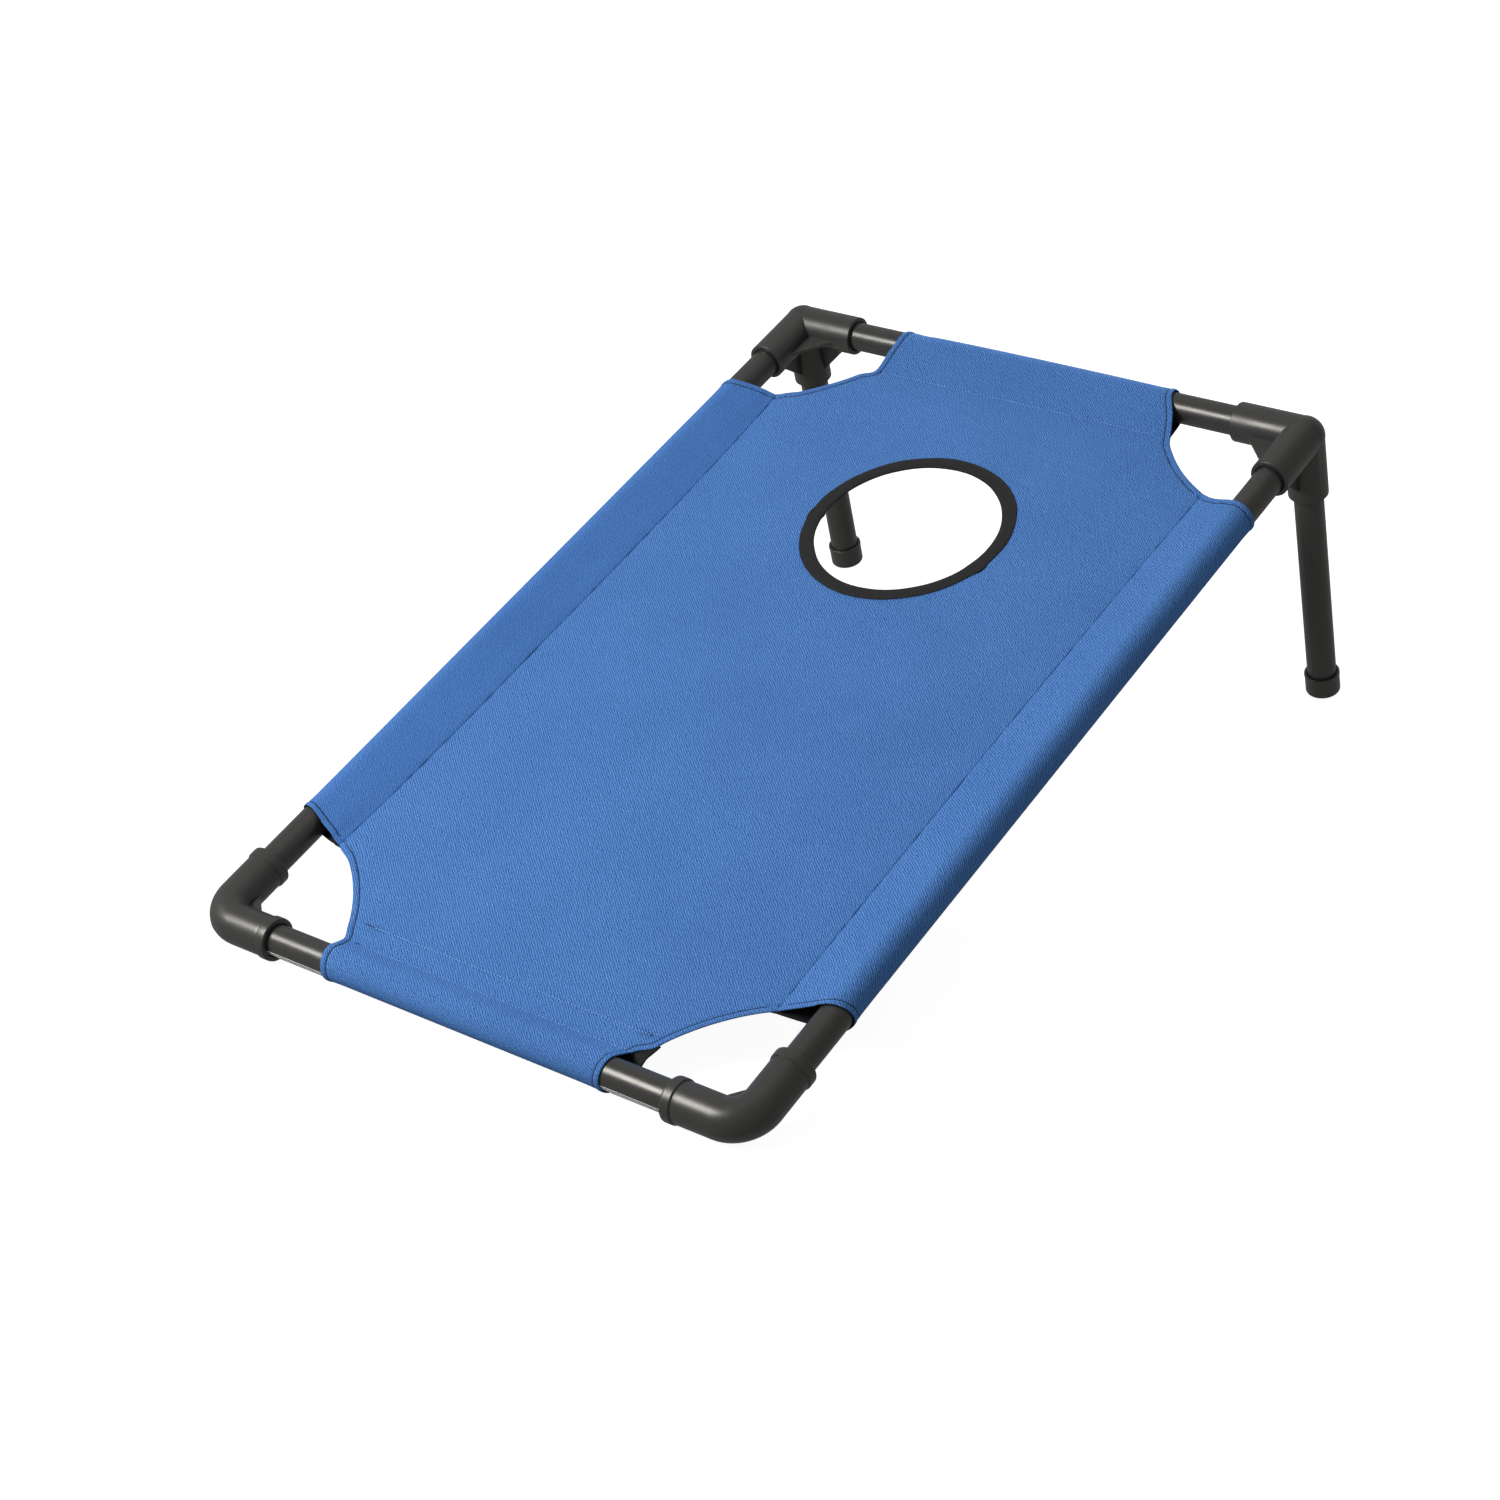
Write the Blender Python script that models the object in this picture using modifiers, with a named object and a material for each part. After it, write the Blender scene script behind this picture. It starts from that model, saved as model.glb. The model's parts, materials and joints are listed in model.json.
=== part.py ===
"""Cornhole board: a sewn fabric target stretched on a plastic pipe frame with two plug-in rear legs.

The board is modelled flat, in its own frame: X to the right, Y from the front rail to the back
rail, Z square to the fabric, with the origin midway between the four rails. An empty then tilts
it onto the floor, where it stands on its front elbows and on the caps of its legs.
"""
import math

import bmesh
import bpy
from mathutils import Matrix, Vector

# Driving dimensions, in metres and radians.
BOARD_WIDTH = 0.540            # between the centre lines of the side rails
BOARD_LENGTH = 0.864           # between the centre lines of the front and back rails
PIPE_RADIUS = 0.01335          # 3/4 inch pipe, 26.7 mm across
PIPE_WALL = 0.0028
LEG_LENGTH = 0.281             # from the corner's centre to the underside of the leg's cap
LEG_RAKE = math.radians(4)     # the leg's lean towards the front, from square to the board

# Fittings.
ARM_LENGTH = 0.067             # from a front elbow's corner to a socket's mouth
RAIL_ARM_LENGTH = 0.0645       # the same for a rear corner's two rail sockets
LEG_ARM_LENGTH = 0.0605        # and for its leg socket
SOCKET_DEPTH = 0.030           # how far a pipe goes into a front elbow
SOCKET_CHAMFER = 0.0008
ELBOW_RADIUS = 0.0172
ELBOW_BEND = 0.023             # centre-line radius of the front elbow
BEAD_RADIUS = 0.0184           # raised ring at the mouth of a front elbow
BEAD_WIDTH = 0.0095
BEAD_STEP = 0.0012
CORNER_RADIUS = 0.0180
CORNER_BALL = 0.0184           # rounded outer corner of a rear fitting
PASSAGE_RADIUS = 0.0105        # bore beyond the pipe stops
PASSAGE_BALL = 0.0112          # hollow where a rear fitting's three passages meet
GUSSET_THICKNESS = 0.0034
FRONT_GUSSET = 0.050           # from the centre to the free edge of the gusset, along each arm
REAR_GUSSET = 0.064

# End caps.
CAP_RADIUS = 0.0159
CAP_LIP_RADIUS = 0.0163
CAP_LIP_HEIGHT = 0.003
CAP_HEIGHT = 0.021
CAP_FLOOR = 0.0026
CAP_EDGE = 0.0022              # rounding of the cap's lower edge

# Sewn cover.
CLOTH = 0.0012                 # thickness of one layer
PANEL_THICKNESS = 0.0016       # the target where it lies flat
SIDE_SEAM = 0.045              # from a side rail's centre line in to its sleeve's seam
FRONT_SEAM = 0.0435             # stitch line that ends the front hem
FRONT_CLOSE = 0.0255           # second stitch line, where the front tunnel closes
BACK_SEAM = 0.042
CUT_OUT_RADIUS = 0.113         # quarter-round cut-out at each corner
HOLE_FROM_CENTRE = 0.202       # the bag hole's centre, towards the back rail
HOLE_RADIUS = 0.084            # clear opening inside the binding tape
TAPE_WIDTH = 0.0125
TAPE_THICKNESS = 0.0009

GAP = 0.0003                   # between pieces that touch
BORE_GAP = 0.00045             # around a pipe in its socket, allowing for the flats of the facets
PIPE_SIDES = 24
HOLE_SIDES = 48
CUT_SIDES = 64
BEND_STEPS = 7
SLEEVE_STEPS = 12
CAP_EDGE_STEPS = 3
SHARP_ANGLE = math.radians(35)
MERGE = 0.000001               # closer vertices are one
TURN_MERGE = 0.00001

HALF_WIDTH = BOARD_WIDTH / 2
HALF_LENGTH = BOARD_LENGTH / 2
BORE_RADIUS = PIPE_RADIUS + BORE_GAP
STOP = ARM_LENGTH - SOCKET_DEPTH
CUTTER_OVERRUN = 0.002
BORE_OVERRUN = 0.008           # past the tips of the gussets, which start on the arms' axes

parts = bpy.data.collections.new("cornhole_board")
construction = bpy.data.collections.new("construction")


def board_tilt():
    """Angle at which the front beads and the front edges of the leg caps meet one floor."""
    def gap_under_cap(tilt):
        lean = tilt - LEG_RAKE
        drop = (LEG_LENGTH - CAP_EDGE) * math.cos(lean) + (CAP_RADIUS - CAP_EDGE) * math.sin(lean)
        return BOARD_LENGTH * math.sin(tilt) + BEAD_RADIUS - drop - CAP_EDGE

    low, high = 0.0, math.radians(45)
    for _ in range(50):
        middle = (low + high) / 2
        if gap_under_cap(middle) < 0:
            low = middle
        else:
            high = middle
    return (low + high) / 2


TILT = board_tilt()


# ---------------------------------------------------------------- helpers

def plastic_material():
    material = bpy.data.materials.new("black_plastic")
    material.use_nodes = True
    shader = material.node_tree.nodes["Principled BSDF"]
    shader.inputs["Base Color"].default_value = (0.022, 0.022, 0.023, 1)
    shader.inputs["Roughness"].default_value = 0.38
    return material


def cloth_material(name, colour):
    material = bpy.data.materials.new(name)
    material.use_nodes = True
    shader = material.node_tree.nodes["Principled BSDF"]
    shader.inputs["Base Color"].default_value = (*colour, 1)
    shader.inputs["Roughness"].default_value = 0.85
    return material


def empty(name, parent=None, location=(0, 0, 0), turn_x=0.0):
    marker = bpy.data.objects.new(name, None)
    marker.parent = parent
    marker.location = location
    marker.rotation_euler = (turn_x, 0, 0)
    parts.objects.link(marker)
    return marker


def along(start, direction):
    """Placement whose Z axis runs from start along direction."""
    turn = Vector(direction).to_track_quat("Z", "Y").to_matrix().to_4x4()
    return Matrix.Translation(start) @ turn


def turned(name, profile, sides, placement=Matrix.Identity(4), closed=False):
    """Solid of revolution about Z. The profile of (radius, height) runs down its outer side."""
    mesh = bpy.data.meshes.new(name)
    edges = [(i, i + 1) for i in range(len(profile) - 1)]
    if closed:
        edges.append((len(profile) - 1, 0))
    mesh.from_pydata([(radius, 0, height) for radius, height in profile], edges, [])
    obj = bpy.data.objects.new(name, mesh)
    screw = obj.modifiers.new("Turn", "SCREW")
    screw.steps = screw.render_steps = sides
    screw.use_merge_vertices = True
    screw.merge_threshold = TURN_MERGE
    obj.matrix_local = placement
    return obj


def ball(name, radius, centre):
    rings = PIPE_SIDES // 2
    angles = [math.pi * ring / rings for ring in range(rings + 1)]
    profile = [(radius * math.sin(angle), radius * math.cos(angle)) for angle in angles]
    return turned(name, profile, PIPE_SIDES, Matrix.Translation(centre))


def meshed(curve_object):
    """Closed mesh object made from a curve object, which it takes the place of."""
    bpy.context.scene.collection.objects.link(curve_object)
    evaluated = curve_object.evaluated_get(bpy.context.evaluated_depsgraph_get())
    mesh = bpy.data.meshes.new_from_object(evaluated)
    form = bmesh.new()
    form.from_mesh(mesh)
    bmesh.ops.remove_doubles(form, verts=form.verts, dist=MERGE)
    bmesh.ops.recalc_face_normals(form, faces=form.faces)
    form.to_mesh(mesh)
    form.free()
    name, placement = curve_object.name, curve_object.matrix_world.copy()
    curve = curve_object.data
    bpy.data.objects.remove(curve_object)
    bpy.data.curves.remove(curve)
    obj = bpy.data.objects.new(name, mesh)
    obj.matrix_local = placement
    return obj


def plate(name, outlines, thickness, placement=Matrix.Identity(4)):
    """Flat piece in local XY, thickness about Z. Outlines after the first are holes."""
    curve = bpy.data.curves.new(name, "CURVE")
    curve.dimensions = "2D"
    curve.fill_mode = "BOTH"
    curve.extrude = thickness / 2
    for outline in outlines:
        spline = curve.splines.new("POLY")
        spline.points.add(len(outline) - 1)
        for point, (x, y) in zip(spline.points, outline):
            point.co = (x, y, 0, 1)
        spline.use_cyclic_u = True
    obj = bpy.data.objects.new(name, curve)
    obj.matrix_local = placement
    return meshed(obj)


def swept(name, stations, sides):
    """Round solid along a path of (point, radius) stations."""
    curve = bpy.data.curves.new(name, "CURVE")
    curve.dimensions = "3D"
    curve.bevel_depth = 1.0
    curve.bevel_resolution = sides // 2 - 2
    curve.use_fill_caps = True
    spline = curve.splines.new("POLY")
    spline.points.add(len(stations) - 1)
    for point, (place, radius) in zip(spline.points, stations):
        point.co = (*place, 1)
        point.radius = radius
    return meshed(bpy.data.objects.new(name, curve))


def add_part(obj, material, parent):
    obj.parent = parent
    obj.data.materials.clear()
    obj.data.materials.append(material)
    obj.data.shade_smooth()
    obj.data.set_sharp_from_angle(angle=SHARP_ANGLE)
    parts.objects.link(obj)
    return obj


def add_tool(obj, parent):
    obj.parent = parent
    obj.hide_render = True
    obj.display_type = "WIRE"
    construction.objects.link(obj)
    return obj


def combine(obj, tool, operation):
    boolean = obj.modifiers.new(tool.name, "BOOLEAN")
    boolean.operation = operation
    boolean.object = tool
    boolean.solver = "EXACT"


# ---------------------------------------------------------------- pipes and caps

def pipe(name, start, direction, length, material, parent):
    profile = [
        (PIPE_RADIUS - PIPE_WALL, length),
        (PIPE_RADIUS, length),
        (PIPE_RADIUS, 0),
        (PIPE_RADIUS - PIPE_WALL, 0),
    ]
    tube = turned(name, profile, PIPE_SIDES, along(start, direction), True)
    return add_part(tube, material, parent)


def rails(material, board):
    """Four rails, each held in two sockets and ending just short of their stops."""
    inset = STOP + GAP
    across = BOARD_WIDTH - 2 * inset
    deep = BOARD_LENGTH - 2 * inset
    left = -HALF_WIDTH + inset
    front = -HALF_LENGTH + inset
    pipe("front_rail", (left, -HALF_LENGTH, 0), (1, 0, 0), across, material, board)
    pipe("back_rail", (left, HALF_LENGTH, 0), (1, 0, 0), across, material, board)
    pipe("left_side_rail", (-HALF_WIDTH, front, 0), (0, 1, 0), deep, material, board)
    pipe("right_side_rail", (HALF_WIDTH, front, 0), (0, 1, 0), deep, material, board)


def leg_cap(name, material, socket):
    """Cup pushed onto the leg's foot, with a slight lip and a rounded lower edge."""
    top = CAP_HEIGHT
    edge = [
        (CAP_RADIUS - CAP_EDGE * (1 - math.cos(angle)), CAP_EDGE * (1 - math.sin(angle)))
        for angle in (math.radians(90) * step / CAP_EDGE_STEPS for step in range(CAP_EDGE_STEPS + 1))
    ]
    profile = [
        (0, CAP_FLOOR),
        (BORE_RADIUS, CAP_FLOOR),
        (BORE_RADIUS, top),
        (CAP_LIP_RADIUS, top),
        (CAP_LIP_RADIUS, top - CAP_LIP_HEIGHT),
        (CAP_RADIUS, top - CAP_LIP_HEIGHT - BEAD_STEP),
        *edge,
        (0, 0),
    ]
    foot = Matrix.Translation((0, 0, -LEG_LENGTH))
    return add_part(turned(name, profile, PIPE_SIDES, foot), material, socket)


def leg(side, sign, material, board):
    """Leg and cap on an empty at the rear corner, whose -Z axis is the line the leg pulls out on."""
    socket = empty(f"{side}_leg_axis", board, (sign * HALF_WIDTH, HALF_LENGTH, 0), -LEG_RAKE)
    foot = LEG_LENGTH - CAP_FLOOR - GAP
    top = STOP + GAP
    pipe(f"{side}_leg", (0, 0, -foot), (0, 0, 1), foot - top, material, socket)
    leg_cap(f"{side}_leg_cap", material, socket)


# ---------------------------------------------------------------- fittings

def gusset(name, arm_a, arm_b, reach, centre, board):
    """Triangular web between two arms of a fitting."""
    arm_a, arm_b = Vector(arm_a).normalized(), Vector(arm_b).normalized()
    normal = arm_a.cross(arm_b).normalized()
    across = normal.cross(arm_a)
    placement = Matrix.Translation(centre) @ Matrix((arm_a, across, normal)).transposed().to_4x4()
    far = Vector((arm_b.dot(arm_a), arm_b.dot(across)))
    outline = [(0, 0), (reach, 0), (reach * far.x, reach * far.y)]
    return add_tool(plate(name, [outline], GUSSET_THICKNESS, placement), board)


def elbow_stations(centre, sign, arm_end, ends):
    """Path of a front elbow from its rail socket round to its side socket, with a radius at each.

    ends is a list of (distance from the arm's end, radius) from the mouth inwards. The last radius
    holds round the bend.
    """
    along_front = Vector((-sign, 0, 0))
    along_side = Vector((0, 1, 0))
    middle = centre + (along_front + along_side) * ELBOW_BEND
    bend = []
    for step in range(BEND_STEPS + 1):
        angle = math.radians(90) * step / BEND_STEPS
        spoke = -along_side * math.cos(angle) - along_front * math.sin(angle)
        bend.append((middle + spoke * ELBOW_BEND, ends[-1][1]))
    first = [(centre + along_front * (arm_end - inset), radius) for inset, radius in ends]
    last = [(centre + along_side * (arm_end - inset), radius) for inset, radius in reversed(ends)]
    return first + bend + last


def front_elbow(side, sign, material, board):
    """Swept elbow with a raised bead at each mouth and a small web in its inner corner."""
    name = f"front_{side}_elbow"
    centre = Vector((sign * HALF_WIDTH, -HALF_LENGTH, 0))
    outside = [
        (0, BEAD_RADIUS - BEAD_STEP),
        (BEAD_STEP, BEAD_RADIUS),
        (BEAD_WIDTH - BEAD_STEP, BEAD_RADIUS),
        (BEAD_WIDTH, ELBOW_RADIUS),
    ]
    inside = [
        (0, BORE_RADIUS + SOCKET_CHAMFER),
        (CUTTER_OVERRUN, BORE_RADIUS + SOCKET_CHAMFER),
        (CUTTER_OVERRUN + SOCKET_CHAMFER, BORE_RADIUS),
        (CUTTER_OVERRUN + SOCKET_DEPTH, BORE_RADIUS),
        (CUTTER_OVERRUN + SOCKET_DEPTH + GAP, PASSAGE_RADIUS),
    ]
    body = swept(name, elbow_stations(centre, sign, ARM_LENGTH, outside), PIPE_SIDES)
    web = gusset(f"{name}_web", (-sign, 0, 0), (0, 1, 0), FRONT_GUSSET, centre, board)
    bore_path = elbow_stations(centre, sign, ARM_LENGTH + CUTTER_OVERRUN, inside)
    bore = swept(f"{name}_bore", bore_path, PIPE_SIDES)
    combine(body, web, "UNION")
    combine(body, add_tool(bore, board), "DIFFERENCE")
    return add_part(body, material, board)


def arm_profile(length):
    """Outside of one arm of a rear corner, from its mouth to the corner's centre."""
    return [
        (0, length),
        (CORNER_RADIUS - SOCKET_CHAMFER, length),
        (CORNER_RADIUS, length - SOCKET_CHAMFER),
        (CORNER_RADIUS, 0),
        (0, 0),
    ]


def bore_profile(length):
    """Stepped bore of an arm, run out past its mouth."""
    return [
        (0, length + BORE_OVERRUN),
        (BORE_RADIUS + SOCKET_CHAMFER, length + BORE_OVERRUN),
        (BORE_RADIUS + SOCKET_CHAMFER, length),
        (BORE_RADIUS, length - SOCKET_CHAMFER),
        (BORE_RADIUS, STOP),
        (PASSAGE_RADIUS, STOP),
        (PASSAGE_RADIUS, 0),
        (0, 0),
    ]


def rear_corner(side, sign, material, board):
    """Three-way corner: sockets for the back rail, the side rail and the leg, with webs between."""
    name = f"rear_{side}_corner"
    centre = Vector((sign * HALF_WIDTH, HALF_LENGTH, 0))
    arms = {
        "back": Vector((-sign, 0, 0)),
        "side": Vector((0, -1, 0)),
        "leg": Vector((0, -math.sin(LEG_RAKE), -math.cos(LEG_RAKE))),
    }
    lengths = {"back": RAIL_ARM_LENGTH, "side": RAIL_ARM_LENGTH, "leg": LEG_ARM_LENGTH}
    body = ball(name, CORNER_BALL, centre)
    for arm, direction in arms.items():
        profile = arm_profile(lengths[arm])
        tool = turned(f"{name}_{arm}_arm", profile, PIPE_SIDES, along(centre, direction))
        combine(body, add_tool(tool, board), "UNION")
    for first, second in (("back", "side"), ("side", "leg"), ("leg", "back")):
        web_name = f"{name}_{first}_{second}_web"
        web = gusset(web_name, arms[first], arms[second], REAR_GUSSET, centre, board)
        combine(body, web, "UNION")
    hollow = add_tool(ball(f"{name}_hollow", PASSAGE_BALL, centre), board)
    for arm, direction in arms.items():
        profile = bore_profile(lengths[arm])
        tool = turned(f"{name}_{arm}_bore", profile, PIPE_SIDES, along(centre, direction))
        combine(hollow, add_tool(tool, board), "UNION")
    combine(body, hollow, "DIFFERENCE")
    return add_part(body, material, board)


# ---------------------------------------------------------------- sewn cover

def teardrop(radius, seam, half_height):
    """Section of a sleeve: round a rail at the origin, then straight to the seam on the +X side.

    Returns points from the seam's top, round the rail, to the seam's bottom. Both straight sides
    are tangent to the round and end half_height above and below the centre line.
    """
    reach = math.hypot(seam, half_height)
    tangent = math.atan2(half_height, seam) + math.acos(radius / reach)
    sweep = 2 * (math.pi - tangent)
    points = [(seam, half_height)]
    for step in range(SLEEVE_STEPS + 1):
        angle = tangent + sweep * step / SLEEVE_STEPS
        points.append((radius * math.cos(angle), radius * math.sin(angle)))
    points.append((seam, -half_height))
    return points


def sleeve_tunnel(tip):
    """Hollow of a sleeve: clears the rail and closes to a point, tip."""
    return teardrop(BORE_RADIUS, tip, 0)[:-1]


def tunnel_tip(seam):
    """Where the hollow of a sleeve with straight sides ends, short of its seam."""
    return seam - CLOTH * seam / BORE_RADIUS


def hemmed_sleeve():
    """Section of the front sleeve: closed at its second stitch line, flat from there to the first."""
    half_height = PANEL_THICKNESS / 2
    points = teardrop(BORE_RADIUS + CLOTH, FRONT_CLOSE, half_height)
    return [(FRONT_SEAM, half_height), *points, (FRONT_SEAM, -half_height)]


def corner_cutters(board):
    """Upright cylinders on the four corners, which shape the cover's cut-outs."""
    cutters = []
    for x_sign in (-1, 1):
        for y_sign in (-1, 1):
            profile = [
                (0, ARM_LENGTH),
                (CUT_OUT_RADIUS, ARM_LENGTH),
                (CUT_OUT_RADIUS, -ARM_LENGTH),
                (0, -ARM_LENGTH),
            ]
            centre = Matrix.Translation((x_sign * HALF_WIDTH, y_sign * HALF_LENGTH, 0))
            name = "cut_out_{}{}".format("L" if x_sign < 0 else "R", "F" if y_sign < 0 else "B")
            cutters.append(add_tool(turned(name, profile, CUT_SIDES, centre), board))
    return cutters


def side_sleeve(side, sign, cutters, material, board):
    """Strip folded round a side rail, its two layers meeting at the panel's edge."""
    half_height = PANEL_THICKNESS / 2
    outer = teardrop(BORE_RADIUS + CLOTH, SIDE_SEAM - GAP, half_height)
    sections = [
        [(-sign * x, z) for x, z in outline]
        for outline in (outer, sleeve_tunnel(tunnel_tip(SIDE_SEAM)))
    ]
    upright = Matrix(((1, 0, 0), (0, 0, -1), (0, 1, 0))).to_4x4()
    placement = Matrix.Translation((sign * HALF_WIDTH, 0, 0)) @ upright
    long_enough = BOARD_LENGTH - 2 * (CUT_OUT_RADIUS - SIDE_SEAM / 2)
    sleeve = plate(f"{side}_sleeve", sections, long_enough, placement)
    for cutter in cutters:
        combine(sleeve, cutter, "DIFFERENCE")
    return add_part(sleeve, material, board)


def target_panel(cutters, material, board):
    """The target: one cloth, flat between its seams and folded round the front and back rails."""
    half_height = PANEL_THICKNESS / 2
    radius = BORE_RADIUS + CLOTH
    front = [(x - HALF_LENGTH, z) for x, z in hemmed_sleeve()]
    back = [(HALF_LENGTH - x, -z) for x, z in teardrop(radius, BACK_SEAM, half_height)]
    front_tip = FRONT_CLOSE - CLOTH
    front_tunnel = [(x - HALF_LENGTH, z) for x, z in sleeve_tunnel(front_tip)]
    back_tunnel = [(HALF_LENGTH - x, -z) for x, z in sleeve_tunnel(tunnel_tip(BACK_SEAM))]
    endwise = Matrix(((0, 0, 1), (1, 0, 0), (0, 1, 0))).to_4x4()
    width = BOARD_WIDTH - 2 * SIDE_SEAM
    panel = plate("target_panel", [front + back, front_tunnel, back_tunnel], width, endwise)
    depth = PIPE_RADIUS
    hole_radius = HOLE_RADIUS + TAPE_THICKNESS + GAP
    profile = [(0, depth), (hole_radius, depth), (hole_radius, -depth), (0, -depth)]
    hole = turned("bag_hole", profile, HOLE_SIDES, Matrix.Translation((0, HOLE_FROM_CENTRE, 0)))
    combine(panel, add_tool(hole, board), "DIFFERENCE")
    for cutter in cutters:
        combine(panel, cutter, "DIFFERENCE")
    return add_part(panel, material, board)


def hole_binding(material, board):
    """Tape folded over the edge of the bag hole: a ring with a U section, open outwards."""
    inner = HOLE_RADIUS
    fold = HOLE_RADIUS + TAPE_THICKNESS
    outer = HOLE_RADIUS + TAPE_WIDTH
    near = PANEL_THICKNESS / 2 + GAP
    far = near + TAPE_THICKNESS
    profile = [
        (inner, far),
        (outer, far),
        (outer, near),
        (fold, near),
        (fold, -near),
        (outer, -near),
        (outer, -far),
        (inner, -far),
    ]
    ring = turned("hole_binding", profile, HOLE_SIDES, Matrix.Translation((0, HOLE_FROM_CENTRE, 0)), True)
    return add_part(ring, material, board)


# ---------------------------------------------------------------- assembly

def standing_place():
    """Location of the tilted board: on the floor, with its length centred on the origin."""
    lean = TILT - LEG_RAKE
    front = -HALF_LENGTH * math.cos(TILT) - BEAD_RADIUS
    foot = (LEG_LENGTH - CAP_EDGE) * math.sin(lean) + (CAP_RADIUS - CAP_EDGE) * math.cos(lean) + CAP_EDGE
    back = HALF_LENGTH * math.cos(TILT) + foot
    height = HALF_LENGTH * math.sin(TILT) + BEAD_RADIUS
    return (0, -(front + back) / 2, height)


def build():
    for obj in list(bpy.data.objects):
        bpy.data.objects.remove(obj)
    bpy.context.scene.collection.children.link(parts)
    bpy.context.scene.collection.children.link(construction)

    plastic = plastic_material()
    blue_cloth = cloth_material("blue_cloth", (0.072, 0.187, 0.462))
    black_tape = cloth_material("black_tape", (0.016, 0.016, 0.017))

    board = empty("board_frame", None, standing_place(), TILT)
    rails(plastic, board)
    for side, sign in (("left", -1), ("right", 1)):
        front_elbow(side, sign, plastic, board)
        rear_corner(side, sign, plastic, board)
        leg(side, sign, plastic, board)

    cutters = corner_cutters(board)
    target_panel(cutters, blue_cloth, board)
    side_sleeve("left", -1, cutters[:2], blue_cloth, board)
    side_sleeve("right", 1, cutters[2:], blue_cloth, board)
    hole_binding(black_tape, board)


build()
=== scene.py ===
"""Looks of the cornhole board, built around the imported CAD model.

Everything on the board is made in the board's own frame (X right, Y from the front rail to the
back rail, Z square to the cloth, origin midway between the rails) and then placed by BOARD.
Cloth is cut and meshed flat, in (across, along) coordinates, and then wrapped round the rails,
so that its weave, seams and stitches follow the cut of each piece.
"""

import json
import math

import bmesh
import bpy
import numpy as np
from mathutils import Matrix, Vector, geometry, kdtree, noise


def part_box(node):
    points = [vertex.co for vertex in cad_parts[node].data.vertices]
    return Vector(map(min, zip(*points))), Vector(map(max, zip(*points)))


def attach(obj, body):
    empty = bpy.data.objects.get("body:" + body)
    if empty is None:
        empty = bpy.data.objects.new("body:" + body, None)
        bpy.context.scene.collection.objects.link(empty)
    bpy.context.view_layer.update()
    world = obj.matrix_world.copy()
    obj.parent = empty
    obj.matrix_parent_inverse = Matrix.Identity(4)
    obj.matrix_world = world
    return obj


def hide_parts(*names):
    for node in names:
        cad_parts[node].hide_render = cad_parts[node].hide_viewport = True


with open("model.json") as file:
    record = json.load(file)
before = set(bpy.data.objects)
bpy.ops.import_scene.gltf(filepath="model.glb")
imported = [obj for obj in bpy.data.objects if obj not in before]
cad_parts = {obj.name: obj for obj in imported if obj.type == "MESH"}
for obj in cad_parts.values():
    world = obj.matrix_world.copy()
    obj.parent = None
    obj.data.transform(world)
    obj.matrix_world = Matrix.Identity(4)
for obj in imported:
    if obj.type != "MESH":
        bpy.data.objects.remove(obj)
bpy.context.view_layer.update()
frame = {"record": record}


def middle(node):
    low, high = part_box(node)
    return (low + high) / 2


UP = Vector((0, 0, 1))
SIGNS = {"left": -1, "right": 1}

# Board, from the CAD.
FRONT = middle("front_rail")
BACK = middle("back_rail")
HALF_LENGTH = (BACK - FRONT).length / 2
HALF_WIDTH = (middle("right_side_rail").x - middle("left_side_rail").x) / 2
TILT = math.atan2(BACK.z - FRONT.z, BACK.y - FRONT.y)
BOARD = Matrix.Translation((FRONT + BACK) / 2) @ Matrix.Rotation(TILT, 4, "X")
FEET = {mount["name"]: mount for mount in frame["record"]["mounts"]}

# Camera, in the row frame.
CAMERA_PLACE = Vector((1.4431, -1.92955, 1.31448))
CAMERA_AIM = Vector((0.0716, -0.1664, 0.150))
CAMERA_ROLL = math.radians(-2.1)
CAMERA_LENS = 75.3

# Floor, which curves up into walls, and light.
FLOOR_REACH = 5
FLOOR_COVE = 2
FLOOR_HEIGHT = 9
FLOOR_STEPS = 8
FLOOR_LOOK = {
    "Base Color": (0.2, 0.2, 0.2, 1),
    "Roughness": 0.9,
    "Emission Color": (1, 1, 1, 1),
    "Emission Strength": 0.93,
}
LIGHT_AIM = (0, 0, 0.1)
# name: place, width, depth, power
LIGHTS = {
    "key": ((-1.25, -1.75, 1.65), 1.15, 0.9, 62),
    "overhead": ((-0.2, 0.5, 2.4), 2.2, 2.2, 3),
    "behind": ((-0.5, 1.8, 0.9), 2.0, 1.5, 48),
}
WORLD_COLOUR = (1, 1, 1, 1)
WORLD_STRENGTH = 0.29

# Pipes and fittings, in metres.
PIPE_RADIUS = 0.01335
PIPE_BORE = 0.01055
PIPE_EDGE = 0.0004
RAIL_INSET = HALF_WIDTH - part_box("front_rail")[1].x
ARM_LENGTH = 0.067             # front elbows
REAR_ARMS = {"back": 0.0645, "side": 0.0645, "leg": 0.0605}
SOCKET_DEPTH = 0.030
SOCKET_RADIUS = 0.0138
STOP = ARM_LENGTH - SOCKET_DEPTH
BORE_EASE = 0.0008
BORE_OVERRUN = 0.008
PASSAGE_RADIUS = 0.0105        # narrower bore past the pipe's stop
PASSAGE_BALL = 0.0112          # hollow in which a rear corner's passages meet
ELBOW_RADIUS = 0.0172
ELBOW_BEND = 0.023
BEAD_RADIUS = 0.0184
BEAD_WIDTH = 0.0095
CORNER_RADIUS = 0.0180
CORNER_BALL = 0.0184
WEB_THICKNESS = 0.0034
WEB_EASE = 0.0005
FRONT_WEB = 0.050
REAR_WEB = 0.064
CAP_RADIUS = 0.0159
CAP_LIP_RADIUS = 0.0163
CAP_LIP_HEIGHT = 0.003
CAP_HEIGHT = 0.021
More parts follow.
